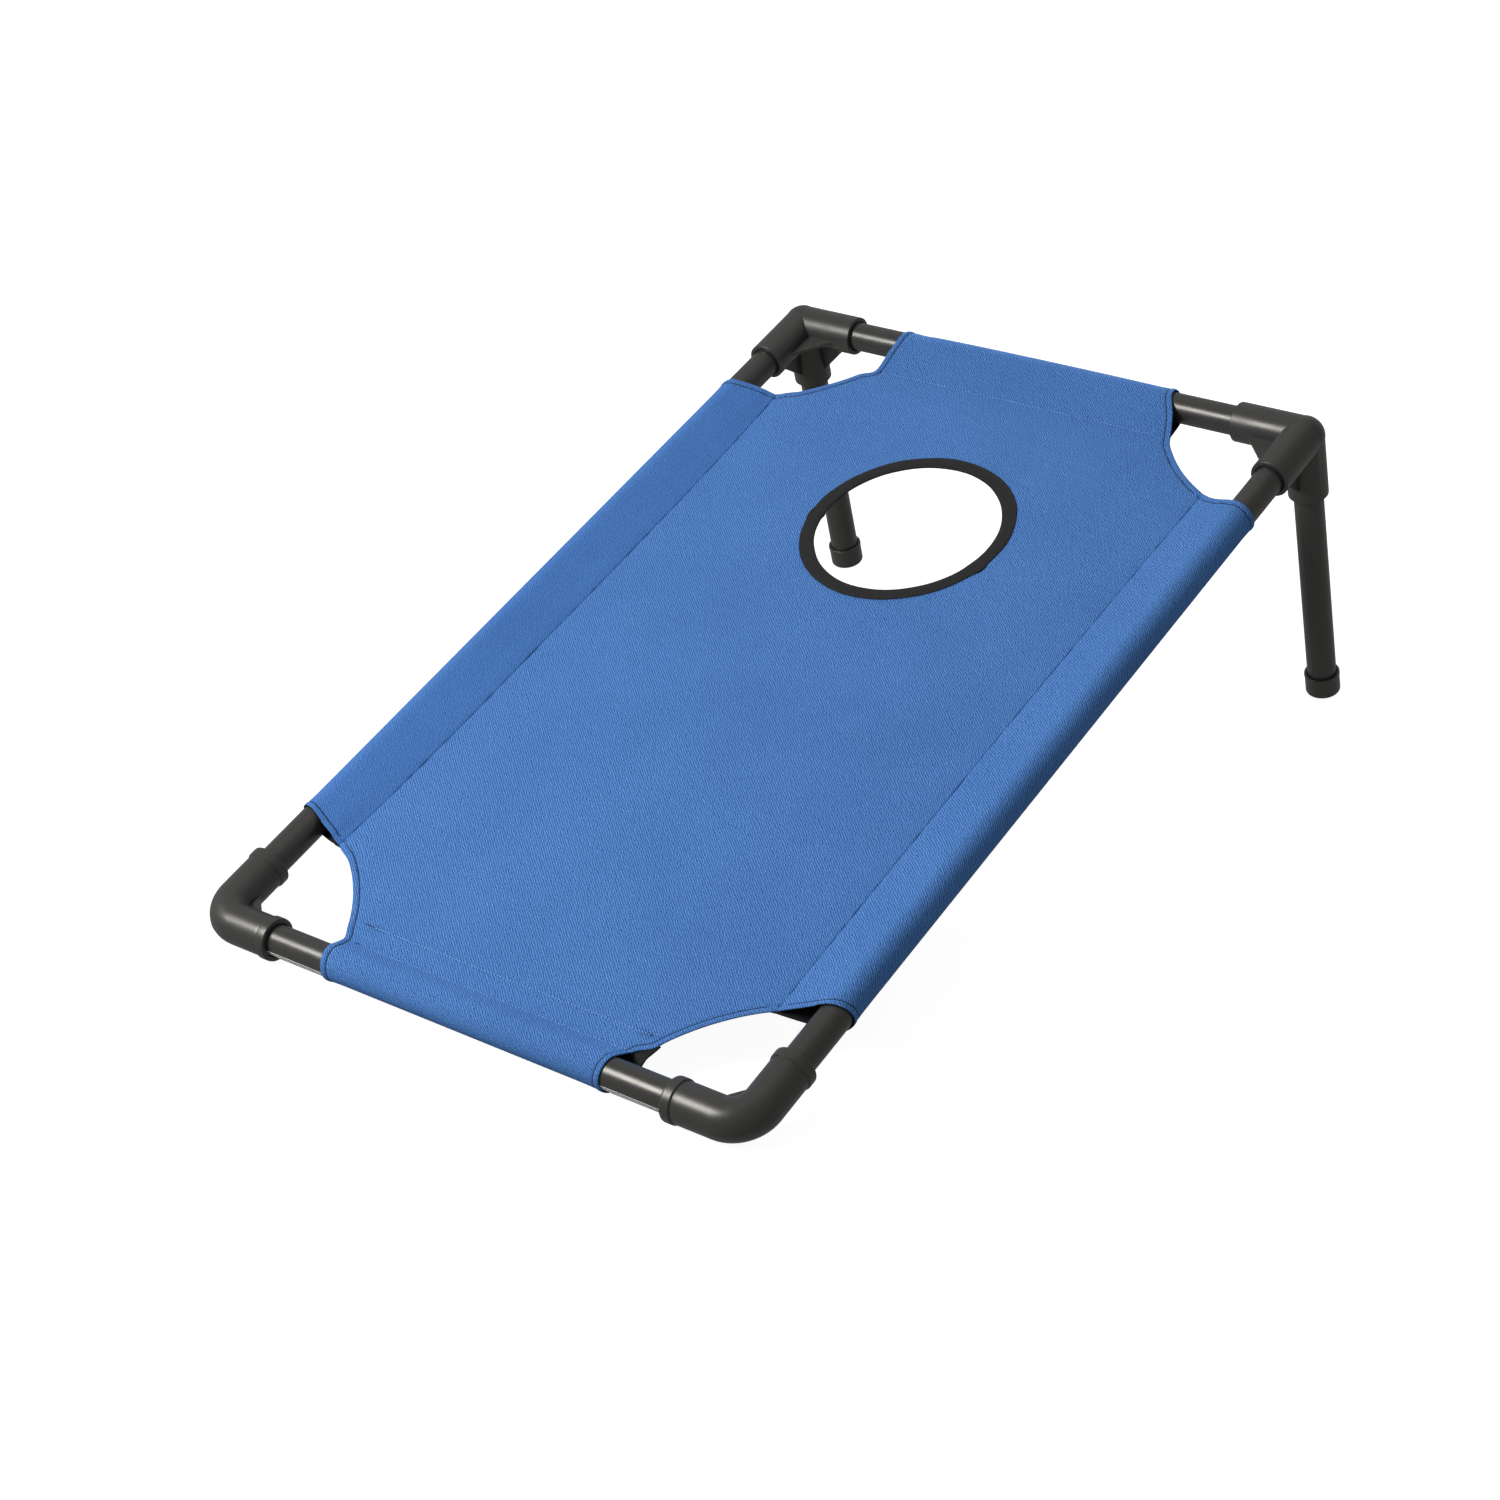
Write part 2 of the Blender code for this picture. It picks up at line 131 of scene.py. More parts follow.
CAP_FLOOR = 0.0026
CAP_EDGE = 0.0022
GAP = 0.0003                   # clearance past a pipe's end
SIDES = 72                     # of a round piece
CRISP = math.radians(30)       # edges sharper than this stay crisp
RIDGE_WIDTH = math.radians(2.0)
RIDGE_HEIGHT = 0.00025
PARTING_RIDGE = 0.00022
DIE_LINES = (17, 27)           # degrees below level, on the front rail's outer side
LEG_LINE = math.radians(-100)  # about the leg, from the board's X axis

# Cloth, in metres.
CLOTH = 0.00065                # thickness
FACE = 0.00033                 # height of the panel's blue face over the rails' plane
SLEEVE_RADIUS = 0.0143         # blue face of a sleeve, from the rail's centre line
FRONT_CLOSE = 0.0241           # from a rail's centre line in to the line that closes its sleeve
BACK_CLOSE = 0.042
SIDE_CLOSE = 0.045
FRONT_TAIL = 0.0224            # how far a sleeve's lower layer runs on past that line
BACK_TAIL = 0.006
SIDE_TAIL = 0.010
LAYER_DROP = 0.0014            # from the face of the upper layer down to that of the lower one
HOLE_CENTRE = Vector((0, 0.2026))
HOLE_RADIUS = 0.084            # clear opening
HOLE_CUT = HOLE_RADIUS + 0.0012
TAPE_WIDTH = 0.0135
TAPE_THICKNESS = 0.0006
TAPE_SEAM = 0.0022             # its stitches, from its outer edge
TAPE_STEPS = 240
# Where the tape's ends lap: angle, how far its outer edge spreads and its inner edge closes in.
TAPE_BUMPS = ((math.radians(-172), 0.0010, 0.0012), (math.radians(-16), 0.0019, 0))
SAG = 0.0025
SAG_INSET = 0.018
# Unevenness of the stretched cloth: height, size across and along, place in the noise.
WAVES = ((0.0007, 0.075, 0.11, (0, 3.7)), (0.00025, 0.028, 0.16, (9, 1.3)))
SLACK = 0.0017                 # cloth off the back rail, at its loosest
SLACK_MIDDLE = Vector((0.015, 0.006))      # where that is: X, and out from the rail's crest
SLACK_REACH = Vector((0.142, 0.013))
SEAM_REACH = 0.325             # half a side seam's length
HEM = 0.0052                   # stitch line of a hem, from the edge
STITCH = 0.0024
STITCH_PITCH = 0.0033
HEM_THREAD = 0.00040           # radius of a hem's stitches
LINE_THREAD = 0.00055          # and of the straight lines' ones
TAPE_THREAD = 0.00030          # and of the binding's
SEAM_CLEAR = 0.004             # how far from a side seam a hem's stitches end
SHALLOW = 0.00022              # relief at which a hollow starts to be shaded
DEEPEST = 0.00065              # and at which it is shaded most
HEM_ROLL = 0.00045             # height of a hem's doubled edge
HEM_ROLL_WIDTH = 0.0045
HEM_GROOVE = 0.00060           # depth of the groove that its stitches pull
PUCKER = 0.011                 # size of the puckers along a side seam
FURROW = 0.00062               # depth of the furrow under a straight stitch line
BANK = 0.00010                 # height of the cloth beside it
MOUTH_LIFT = 0.00055           # how much a sleeve's mouth stands off its rail
MOUTH_REACH = 0.010
TARGET_GRID = 0.0055           # spacing of the target's points in a row
TARGET_ROW = 0.87 * TARGET_GRID            # and of their rows
FINE_ROW = 0.0019              # and of those round the front and back rails
LINE_ROWS = (-0.0016, -0.0008, 0, 0.0008, 0.0016)      # extra ones under a straight stitch line
LINE_STEP = 0.004              # spacing of the points in those
LINE_INSET = 0.012             # and their distance from the line's ends
SIDE_ROW = 0.0050              # spacing of the side sleeves' rows
SIDE_GRID = 0.0026             # and of the points in a row


# ---------------------------------------------------------------- camera, light and floor

def link(obj):
    bpy.context.scene.collection.objects.link(obj)
    return obj


def add_camera():
    data = bpy.data.cameras.new("camera")
    data.lens = CAMERA_LENS
    camera = link(bpy.data.objects.new("camera", data))
    aim = (CAMERA_AIM - CAMERA_PLACE).to_track_quat("-Z", "Y").to_matrix().to_4x4()
    roll = Matrix.Rotation(CAMERA_ROLL, 4, "Z")
    camera.matrix_world = Matrix.Translation(CAMERA_PLACE) @ aim @ roll
    bpy.context.scene.camera = camera


def soft_light(name, place, width, depth, power):
    data = bpy.data.lights.new(name, "AREA")
    data.shape = "RECTANGLE"
    data.size = width
    data.size_y = depth
    data.energy = power
    light = link(bpy.data.objects.new(name, data))
    turn = (Vector(LIGHT_AIM) - Vector(place)).to_track_quat("-Z", "Y")
    light.matrix_world = Matrix.Translation(place) @ turn.to_matrix().to_4x4()
    light.visible_camera = False
    light.visible_glossy = name != "behind"


def pale_floor():
    profile = [(0, 0)]
    for angle in quarter(FLOOR_STEPS):
        outward = FLOOR_REACH + FLOOR_COVE * math.sin(angle)
        profile.append((outward, FLOOR_COVE * (1 - math.cos(angle))))
    profile.append((FLOOR_REACH + FLOOR_COVE, FLOOR_HEIGHT))
    floor = turned("floor", profile)
    graph = Graph("pale_floor")
    for name, value in FLOOR_LOOK.items():
        graph.shader.inputs[name].default_value = value
    floor.data.materials.append(graph.material)
    floor.visible_diffuse = False
    floor.visible_glossy = False


def studio():
    """Pale surroundings, a key light at the left front, a faint one above and a wide low one behind.

    The one behind lifts the shaded sides and isn't mirrored in the glossy pipes.
    """
    bpy.context.scene.view_settings.view_transform = "Standard"
    world = bpy.data.worlds.new("studio")
    world.use_nodes = True
    background = world.node_tree.nodes["Background"]
    background.inputs["Color"].default_value = WORLD_COLOUR
    background.inputs["Strength"].default_value = WORLD_STRENGTH
    bpy.context.scene.world = world
    pale_floor()
    for name, settings in LIGHTS.items():
        soft_light(name, *settings)


# ---------------------------------------------------------------- meshes

def quarter(steps):
    """Angles of a quarter turn, both ends included."""
    return [math.pi / 2 * step / steps for step in range(steps + 1)]


def turn_out(mesh, merge=0):
    """Turns a mesh's faces outwards, its vertices that lie within merge of each other joined."""
    form = bmesh.new()
    form.from_mesh(mesh)
    if merge:
        bmesh.ops.remove_doubles(form, verts=form.verts, dist=merge)
    bmesh.ops.recalc_face_normals(form, faces=form.faces)
    form.to_mesh(mesh)
    form.free()


def piece(name, vertices, faces, placement=Matrix.Identity(4)):
    """Mesh object with its doubles merged and its faces turned out."""
    mesh = bpy.data.meshes.new(name)
    mesh.from_pydata([tuple(v) for v in vertices], [], faces)
    turn_out(mesh, merge=0.000001)
    obj = link(bpy.data.objects.new(name, mesh))
    obj.matrix_world = placement
    return obj


def ring_faces(rings, sides, closed):
    """Quads between neighbouring rings of vertices that lie one after another."""
    faces = []
    for ring in range(rings if closed else rings - 1):
        start = ring * sides
        after = (ring + 1) % rings * sides
        for side in range(sides):
            turn = (side + 1) % sides
            faces.append((start + side, after + side, after + turn, start + turn))
    return faces


def capped_faces(rings, sides):
    """The same for a solid, with a face at each end."""
    last = (rings - 1) * sides
    ends = [tuple(range(sides)), tuple(range(last, last + sides))]
    return ring_faces(rings, sides, False) + ends


def turned(name, profile, placement=Matrix.Identity(4), closed=False, ridges=(), ridge_height=0):
    """Solid of revolution about Z. A closed profile is a ring's section.

    ridges are the angles of fine lengthwise lines left on its outer side by the die.
    """
    turn = {angle: 0 for angle in np.linspace(0, 2 * math.pi, SIDES, endpoint=False)}
    for ridge in ridges:
        turn = {angle: height for angle, height in turn.items() if abs(angle - ridge) > RIDGE_WIDTH}
        turn.update({ridge - RIDGE_WIDTH: 0, ridge: ridge_height, ridge + RIDGE_WIDTH: 0})
    angles = sorted(turn)
    outside = max(radius for radius, _ in profile)
    vertices = []
    for radius, height in profile:
        for angle in angles:
            reach = radius + (turn[angle] if radius == outside else 0)
            vertices.append((reach * math.cos(angle), reach * math.sin(angle), height))
    return piece(name, vertices, ring_faces(len(profile), len(angles), closed), placement)


def along(start, direction):
    """Placement whose Z axis runs from start along direction."""
    turn = Vector(direction).to_track_quat("Z", "Y").to_matrix().to_4x4()
    return Matrix.Translation(start) @ turn


def combine(obj, tool, operation):
    boolean = obj.modifiers.new(tool.name, "BOOLEAN")
    boolean.operation = operation
    boolean.object = tool
    boolean.solver = "EXACT"
    with bpy.context.temp_override(object=obj, active_object=obj):
        bpy.ops.object.modifier_apply(modifier=boolean.name)
    bpy.data.objects.remove(tool)


def smooth(obj):
    """Smooth shading that keeps a piece's crisp edges."""
    obj.data.shade_smooth()
    obj.data.set_sharp_from_angle(angle=CRISP)
    weighted = obj.modifiers.new("even shading", "WEIGHTED_NORMAL")
    weighted.keep_sharp = True
    return obj


def dress(obj, body, material, slot, *nodes):
    """Gives a piece its material and its CAD body, and hides the CAD nodes it stands for. slot is not
    used.
    """
    if not obj.data.materials:
        obj.data.materials.append(material)
    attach(obj, body)
    if nodes:
        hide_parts(*nodes)


# ---------------------------------------------------------------- materials

PLASTIC = (0.033, 0.033, 0.0325)
RUBBED = (0.062, 0.062, 0.061)
GLOSS_TINT = (1.0, 0.965, 0.88)
BACKING = ((0.009, 0.009, 0.010), (0.017, 0.017, 0.018))
TAPE = ((0.008, 0.008, 0.009), (0.028, 0.028, 0.029))
TAPE_RIB = 0.0009
BLUE = ((0.010, 0.062, 0.215), (0.136, 0.317, 0.722))
# Blue of the left sleeve's copy of the twill: its light end a little darker than BLUE's, as painted
# shade for that sleeve's slope, which is lit less.
PAINTED_SHADE_COPY_BLUE = ((0.010, 0.060, 0.205), (0.113, 0.284, 0.700))
# Painted shade: blue-black mixed into the cloth's colour in seams, hem grooves and stitch furrows,
# where shade falls.
PAINTED_SHADE_COLOUR = (0.010, 0.030, 0.090)
# Painted reflection: near-white colour on the front rail's fine ridges, for the white floor mirrored
# along its lower side.
PAINTED_FLOOR_REFLECTION = (0.90, 0.90, 0.87)
BLUE_THREAD = (0.20, 0.46, 0.90)
# Near-black thread of the hems and back-tacks: blue thread with the shade of its grooves painted in.
THREAD_PAINTED_SHADE = (0.004, 0.010, 0.035)
BLACK_THREAD = (0.03, 0.03, 0.03)
RIB_ALONG = Vector((0.76, -0.65))      # direction of the twill's ribs on the flat cloth
RIB_PITCH = 0.0019
FLOAT_LENGTH = 0.00127
FLOAT_STEP = 0.37                      # share of a float by which each rib's are moved on
FLOAT_RELIEF = 0.35
DRIFT = 0.5                            # wander of the ribs over the cloth, in ribs
UNEVEN = 1.4                           # and of single threads


class Graph:
    """Short calls for a material's nodes. A number or a socket can be given for any input."""

    def __init__(self, name):
        self.material = bpy.data.materials.new(name)
        self.material.use_nodes = True
        self.tree = self.material.node_tree
        self.shader = self.tree.nodes["Principled BSDF"]

    def put(self, socket, value):
        if isinstance(value, bpy.types.NodeSocket):
            self.tree.links.new(value, socket)
        else:
            socket.default_value = value

    def node(self, kind, inputs=None, **settings):
        """New node, with its inputs given by their names or numbers."""
        made = self.tree.nodes.new(kind)
        for key, value in settings.items():
            setattr(made, key, value)
        for key, value in (inputs or {}).items():
            self.put(made.inputs[key], value)
        return made

    def math(self, operation, *numbers):
        return self.node("ShaderNodeMath", dict(enumerate(numbers)), operation=operation).outputs[0]

    def noise(self, vector, scale, detail=2.0, roughness=0.5):
        inputs = {"Vector": vector, "Scale": scale, "Detail": detail, "Roughness": roughness}
        return self.node("ShaderNodeTexNoise", inputs).outputs["Fac"]

    def spread(self, value, low, high, new_low, new_high):
        inputs = dict(enumerate((value, low, high, new_low, new_high)))
        return self.node("ShaderNodeMapRange", inputs).outputs["Result"]

    def mix(self, share, first, second):
        inputs = {"Factor": share, "A": first, "B": second}
        return self.node("ShaderNodeMix", inputs, data_type="RGBA").outputs["Result"]

    def mapping(self, vector, scale):
        inputs = {"Vector": vector, "Scale": scale}
        return self.node("ShaderNodeMapping", inputs).outputs["Vector"]

    def bump(self, height, distance, strength, under=None):
        inputs = {"Height": height, "Distance": distance, "Strength": strength}
        if under is not None:
            inputs["Normal"] = under
        return self.node("ShaderNodeBump", inputs).outputs["Normal"]

    def finish(self, colour, roughness, normal, specular=0.5):
        looks = {"Base Color": colour, "Roughness": roughness, "Normal": normal}
        for name, value in looks.items():
            self.put(self.shader.inputs[name], value)
        self.shader.inputs["Specular IOR Level"].default_value = specular
        return self.material


def rgba(colour):
    return (*colour, 1)


def plastic(name, roughness, streaks):
    """Black moulded or extruded plastic: fine grain, cloudy gloss and a few rubbed places.

    streaks stretches the grain along the piece's Z axis, as extrusion does to a pipe.
    """
    graph = Graph(name)
    place = graph.node("ShaderNodeTexCoord").outputs["Object"]
    drawn = graph.mapping(place, (1, 1, 0.03 if streaks else 1))
    grain = graph.noise(drawn, 900 if streaks else 1500, 3)
    cloud = graph.noise(place, 38, 3)
    rub = graph.noise(graph.mapping(place, (1, 1, 0.4)), 160, 6, 0.7)
    rub = graph.spread(rub, 0.63, 0.75, 0, 1)
    colour = graph.mix(graph.math("MULTIPLY", rub, 0.35), rgba(PLASTIC), rgba(RUBBED))
    gloss = graph.math("ADD", graph.spread(cloud, 0.3, 0.7, roughness - 0.05, roughness + 0.06),
                       graph.math("MULTIPLY", rub, 0.12))
    normal = graph.bump(grain, 0.00006, 0.5)
    normal = graph.bump(cloud, 0.0006, 0.12, normal)
    graph.shader.inputs["Specular Tint"].default_value = rgba(GLOSS_TINT)
    return graph.finish(colour, gloss, normal, 0.62)


def wave(graph, turns):
    """Sine of a number of turns, moved to 0 to 1."""
    sine = graph.math("SINE", graph.math("MULTIPLY", turns, 2 * math.pi))
    return graph.math("MULTIPLY_ADD", sine, 0.5, 0.5)


def flat_place(graph):
    """The cloth's flat coordinates kept on the mesh: the vector, its across and its length part."""
    flat = graph.node("ShaderNodeAttribute", attribute_name="flat").outputs["Vector"]
    parts = graph.node("ShaderNodeSeparateXYZ", {0: flat})
    return flat, parts.outputs["X"], parts.outputs["Y"]


def weave(graph):
    """Flat coordinates and the twill's height there, 0 to 1: ribs that are rows of short floats."""
    flat, across, length = flat_place(graph)
    position = graph.math("MULTIPLY", across, -RIB_ALONG.y)
    position = graph.math("MULTIPLY_ADD", length, RIB_ALONG.x, position)
    drift = graph.math("MULTIPLY", graph.noise(flat, 60, 2), DRIFT)
    drift = graph.math("MULTIPLY_ADD", graph.noise(flat, 330, 2), UNEVEN, drift)
    turns = graph.math("ADD", graph.math("DIVIDE", position, RIB_PITCH), drift)
    rib = wave(graph, turns)
    run = graph.math("MULTIPLY", across, RIB_ALONG.x)
    run = graph.math("MULTIPLY_ADD", length, RIB_ALONG.y, run)
    step = graph.math("MULTIPLY", graph.math("FLOOR", turns), FLOAT_STEP)
    floats = wave(graph, graph.math("ADD", graph.math("DIVIDE", run, FLOAT_LENGTH), step))
    crown = graph.math("MULTIPLY", rib, 1 - FLOAT_RELIEF)
    return flat, graph.math("MULTIPLY_ADD", graph.math("MULTIPLY", rib, floats), FLOAT_RELIEF, crown)


def painted_shade_share(graph):
    """How much painted shade a point gets, 0 to 1, by how deep it lies in a seam, a hem's groove or a
    stitch line.
    """
    return graph.node("ShaderNodeAttribute", attribute_name="hollow").outputs["Fac"]


def cloth_face(name, dark, light, soft):
    """Blue polyester twill. soft evens out the ribs of a strip cut across the cloth."""
    graph = Graph(name)
    flat, height = weave(graph)
    fibre = graph.noise(flat, 2600, 2)
    slub = graph.spread(graph.noise(flat, 620, 2), 0.3, 0.7, 0.0, 1.0)
    ribs = graph.math("MULTIPLY_ADD", height, 0.80 * (1 - soft), 0.42 * soft)
    shade = graph.math("MULTIPLY_ADD", fibre, 0.22, ribs)
    shade = graph.math("MULTIPLY_ADD", slub, 0.32, shade)
    shade = graph.math("SUBTRACT", shade, 0.11)
    colour = graph.mix(shade, rgba(dark), rgba(light))
    cloud = graph.spread(graph.noise(flat, 9, 3), 0.3, 0.7, 0.0, 0.14)
    colour = graph.mix(cloud, colour, rgba(dark))
    # Painted shade in seams, hem grooves and stitch furrows.
    colour = graph.mix(graph.math("MULTIPLY", painted_shade_share(graph), 0.55), colour, rgba(PAINTED_SHADE_COLOUR))
    normal = graph.bump(height, 0.00030, 0.85)
    normal = graph.bump(fibre, 0.00008, 0.5, normal)
    return graph.finish(colour, graph.spread(height, 0, 1, 0.9, 0.75), normal, 0.08)


def cloth_backing():
    """Black coating on the cloth's inner side, with the weave showing through."""
    graph = Graph("black_backing")
    flat, height = weave(graph)
    cloud = graph.noise(flat, 70, 4)
    colour = graph.mix(cloud, *map(rgba, BACKING))
    normal = graph.bump(height, 0.00012, 0.5)
    return graph.finish(colour, graph.spread(cloud, 0.3, 0.7, 0.6, 0.75), normal, 0.15)


def thread(name, colour):
    """Finely mottled material of a sewing thread, or of the painted reflection on a pipe's fine lines.
    """
    graph = Graph(name)
    place = graph.node("ShaderNodeTexCoord").outputs["Object"]
    fibre = graph.noise(place, 5000, 2)
    tint = graph.mix(fibre, rgba(0.7 * part for part in colour), rgba(colour))
    return graph.finish(tint, graph.spread(fibre, 0, 1, 0.5, 0.75), graph.bump(fibre, 0.0001, 0.5))


def tape_material():
    """Black grosgrain binding: fine ribs across the tape."""
    graph = Graph("black_tape")
    flat, _, length = flat_place(graph)
    rib = wave(graph, graph.math("DIVIDE", length, TAPE_RIB))
    fibre = graph.noise(flat, 1800, 3)
    shade = graph.math("MULTIPLY_ADD", fibre, 0.6, graph.math("MULTIPLY", rib, 0.5))
    colour = graph.mix(shade, *map(rgba, TAPE))
    normal = graph.bump(graph.math("MULTIPLY_ADD", fibre, 0.4, rib), 0.00015, 0.6)
    return graph.finish(colour, graph.spread(fibre, 0.2, 0.8, 0.75, 0.92), normal, 0.2)


# ---------------------------------------------------------------- pipes, caps and fittings

def mark_lines(obj, ridges, material, pale):
    """Gives the fine lines along a pipe the near-white material of a painted reflection."""
    for each in (material, pale):
        obj.data.materials.append(each)
    for face in obj.data.polygons:
        turn = math.atan2(face.center.y, face.center.x) % (2 * math.pi)
        outside = Vector(face.center.xy).length > PIPE_BORE + PIPE_EDGE
        # Painted reflection on the ridges' outer faces.
        if outside and any(abs(turn - ridge) < RIDGE_WIDTH for ridge in ridges):
            face.material_index = 1


def pipe(name, start, direction, length, body, node, material, lines=(), pale=None):
    """Hollow pipe with eased ends. lines are directions in which it has a fine lengthwise line."""
    profile = [
        (PIPE_BORE, length - PIPE_EDGE),
        (PIPE_BORE + PIPE_EDGE, length),
        (PIPE_RADIUS - PIPE_EDGE, length),
        (PIPE_RADIUS, length - PIPE_EDGE),
        (PIPE_RADIUS, PIPE_EDGE),
        (PIPE_RADIUS - PIPE_EDGE, 0),
        (PIPE_BORE + PIPE_EDGE, 0),
        (PIPE_BORE, PIPE_EDGE),
    ]
    placement = along(start, direction)
    to_pipe = placement.to_3x3().inverted()
    ridges = [math.atan2((to_pipe @ line).y, (to_pipe @ line).x) % (2 * math.pi) for line in lines]
    obj = turned(name, profile, placement, True, ridges, RIDGE_HEIGHT)
    if pale:
        mark_lines(obj, ridges, material, pale)
    dress(smooth(obj), body, material, "black_pipe", node)


def rails(material, pale):
    across = 2 * (HALF_WIDTH - RAIL_INSET)
    deep = 2 * (HALF_LENGTH - RAIL_INSET)
    turn = BOARD.to_3x3()
    runs = {
        "front_rail": ((-across / 2, -HALF_LENGTH, 0), (1, 0, 0), across),
        "back_rail": ((-across / 2, HALF_LENGTH, 0), (1, 0, 0), across),
        "left_side_rail": ((-HALF_WIDTH, -deep / 2, 0), (0, 1, 0), deep),
        "right_side_rail": ((HALF_WIDTH, -deep / 2, 0), (0, 1, 0), deep),
    }
    for node, (start, direction, length) in runs.items():
        start = BOARD @ Vector(start)
        lines = []
        if node == "front_rail":
            for angle in DIE_LINES:
                lines.append(Matrix.Rotation(math.radians(angle), 3, "X") @ Vector((0, -1, 0)))
        pipe(node + "_pipe", start, turn @ Vector(direction), length, "frame", node, material,
             lines, pale)


def leg_cap(name, placement):
    """Push-on cap: lip at the top, rounded lower edge, shallow ring moulded in its underside."""
    edge = [
        (CAP_RADIUS - CAP_EDGE * (1 - math.cos(angle)), CAP_EDGE * (1 - math.sin(angle)))
        for angle in quarter(6)
    ]
    top = CAP_HEIGHT
    profile = [
        (0, CAP_FLOOR),
        (SOCKET_RADIUS, CAP_FLOOR),
        (SOCKET_RADIUS, top - 0.0006),
        (SOCKET_RADIUS + 0.0006, top),
        (CAP_LIP_RADIUS - 0.0005, top),
        (CAP_LIP_RADIUS - 0.0001, top - 0.0003),
        (CAP_LIP_RADIUS, top - 0.0007),
        (CAP_LIP_RADIUS, top - CAP_LIP_HEIGHT + 0.0003),
        (CAP_LIP_RADIUS - 0.0001, top - CAP_LIP_HEIGHT),
        (CAP_RADIUS, top - CAP_LIP_HEIGHT - 0.0006),
        *edge,
        (0.0105, 0),
        (0.0102, 0.0003),
        (0.0092, 0.0003),
        (0.0089, 0),
        (0, 0),
    ]
    return turned(name, profile, placement)


def legs(pipe_material, fitting_material):
    for side, sign in SIGNS.items():
        mount = FEET[f"{side}_foot"]
        foot = Vector(mount["pos_m"])
        up = -Vector(mount["axis"]).normalized()
        corner = BOARD @ Vector((sign * HALF_WIDTH, HALF_LENGTH, 0))
        start = foot + up * (CAP_FLOOR + GAP)
        length = (corner - start).length - RAIL_INSET
        body = f"{side}_leg"
        line = Vector((math.cos(LEG_LINE), math.sin(LEG_LINE), 0))
        pipe(f"{side}_leg_pipe", start, up, length, body, f"{side}_leg", pipe_material, [line])
        cap = leg_cap(f"{side}_leg_foot", along(foot, up))
        dress(smooth(cap), body, fitting_material, "black_fitting", f"{side}_leg_cap")


def web(name, arm_a, arm_b, reach, centre):
    """Triangular web between two arms of a fitting, its free edge straight and eased."""
    arm_a, arm_b = Vector(arm_a).normalized(), Vector(arm_b).normalized()
    normal = arm_a.cross(arm_b).normalized()
    outline = [Vector((0, 0, 0)), arm_a * reach, arm_b * reach]
    half = WEB_THICKNESS / 2
    layers = [(-half, WEB_EASE), (-half + WEB_EASE, 0), (half - WEB_EASE, 0), (half, WEB_EASE)]
    middle_line = (arm_a + arm_b).normalized()
    vertices = []
    for height, inset in layers:
        for index, point in enumerate(outline):
            shift = -middle_line * inset if index else Vector()
            vertices.append(Vector(centre) + point + shift + normal * height)
    return piece(name, vertices, capped_faces(len(layers), len(outline)))


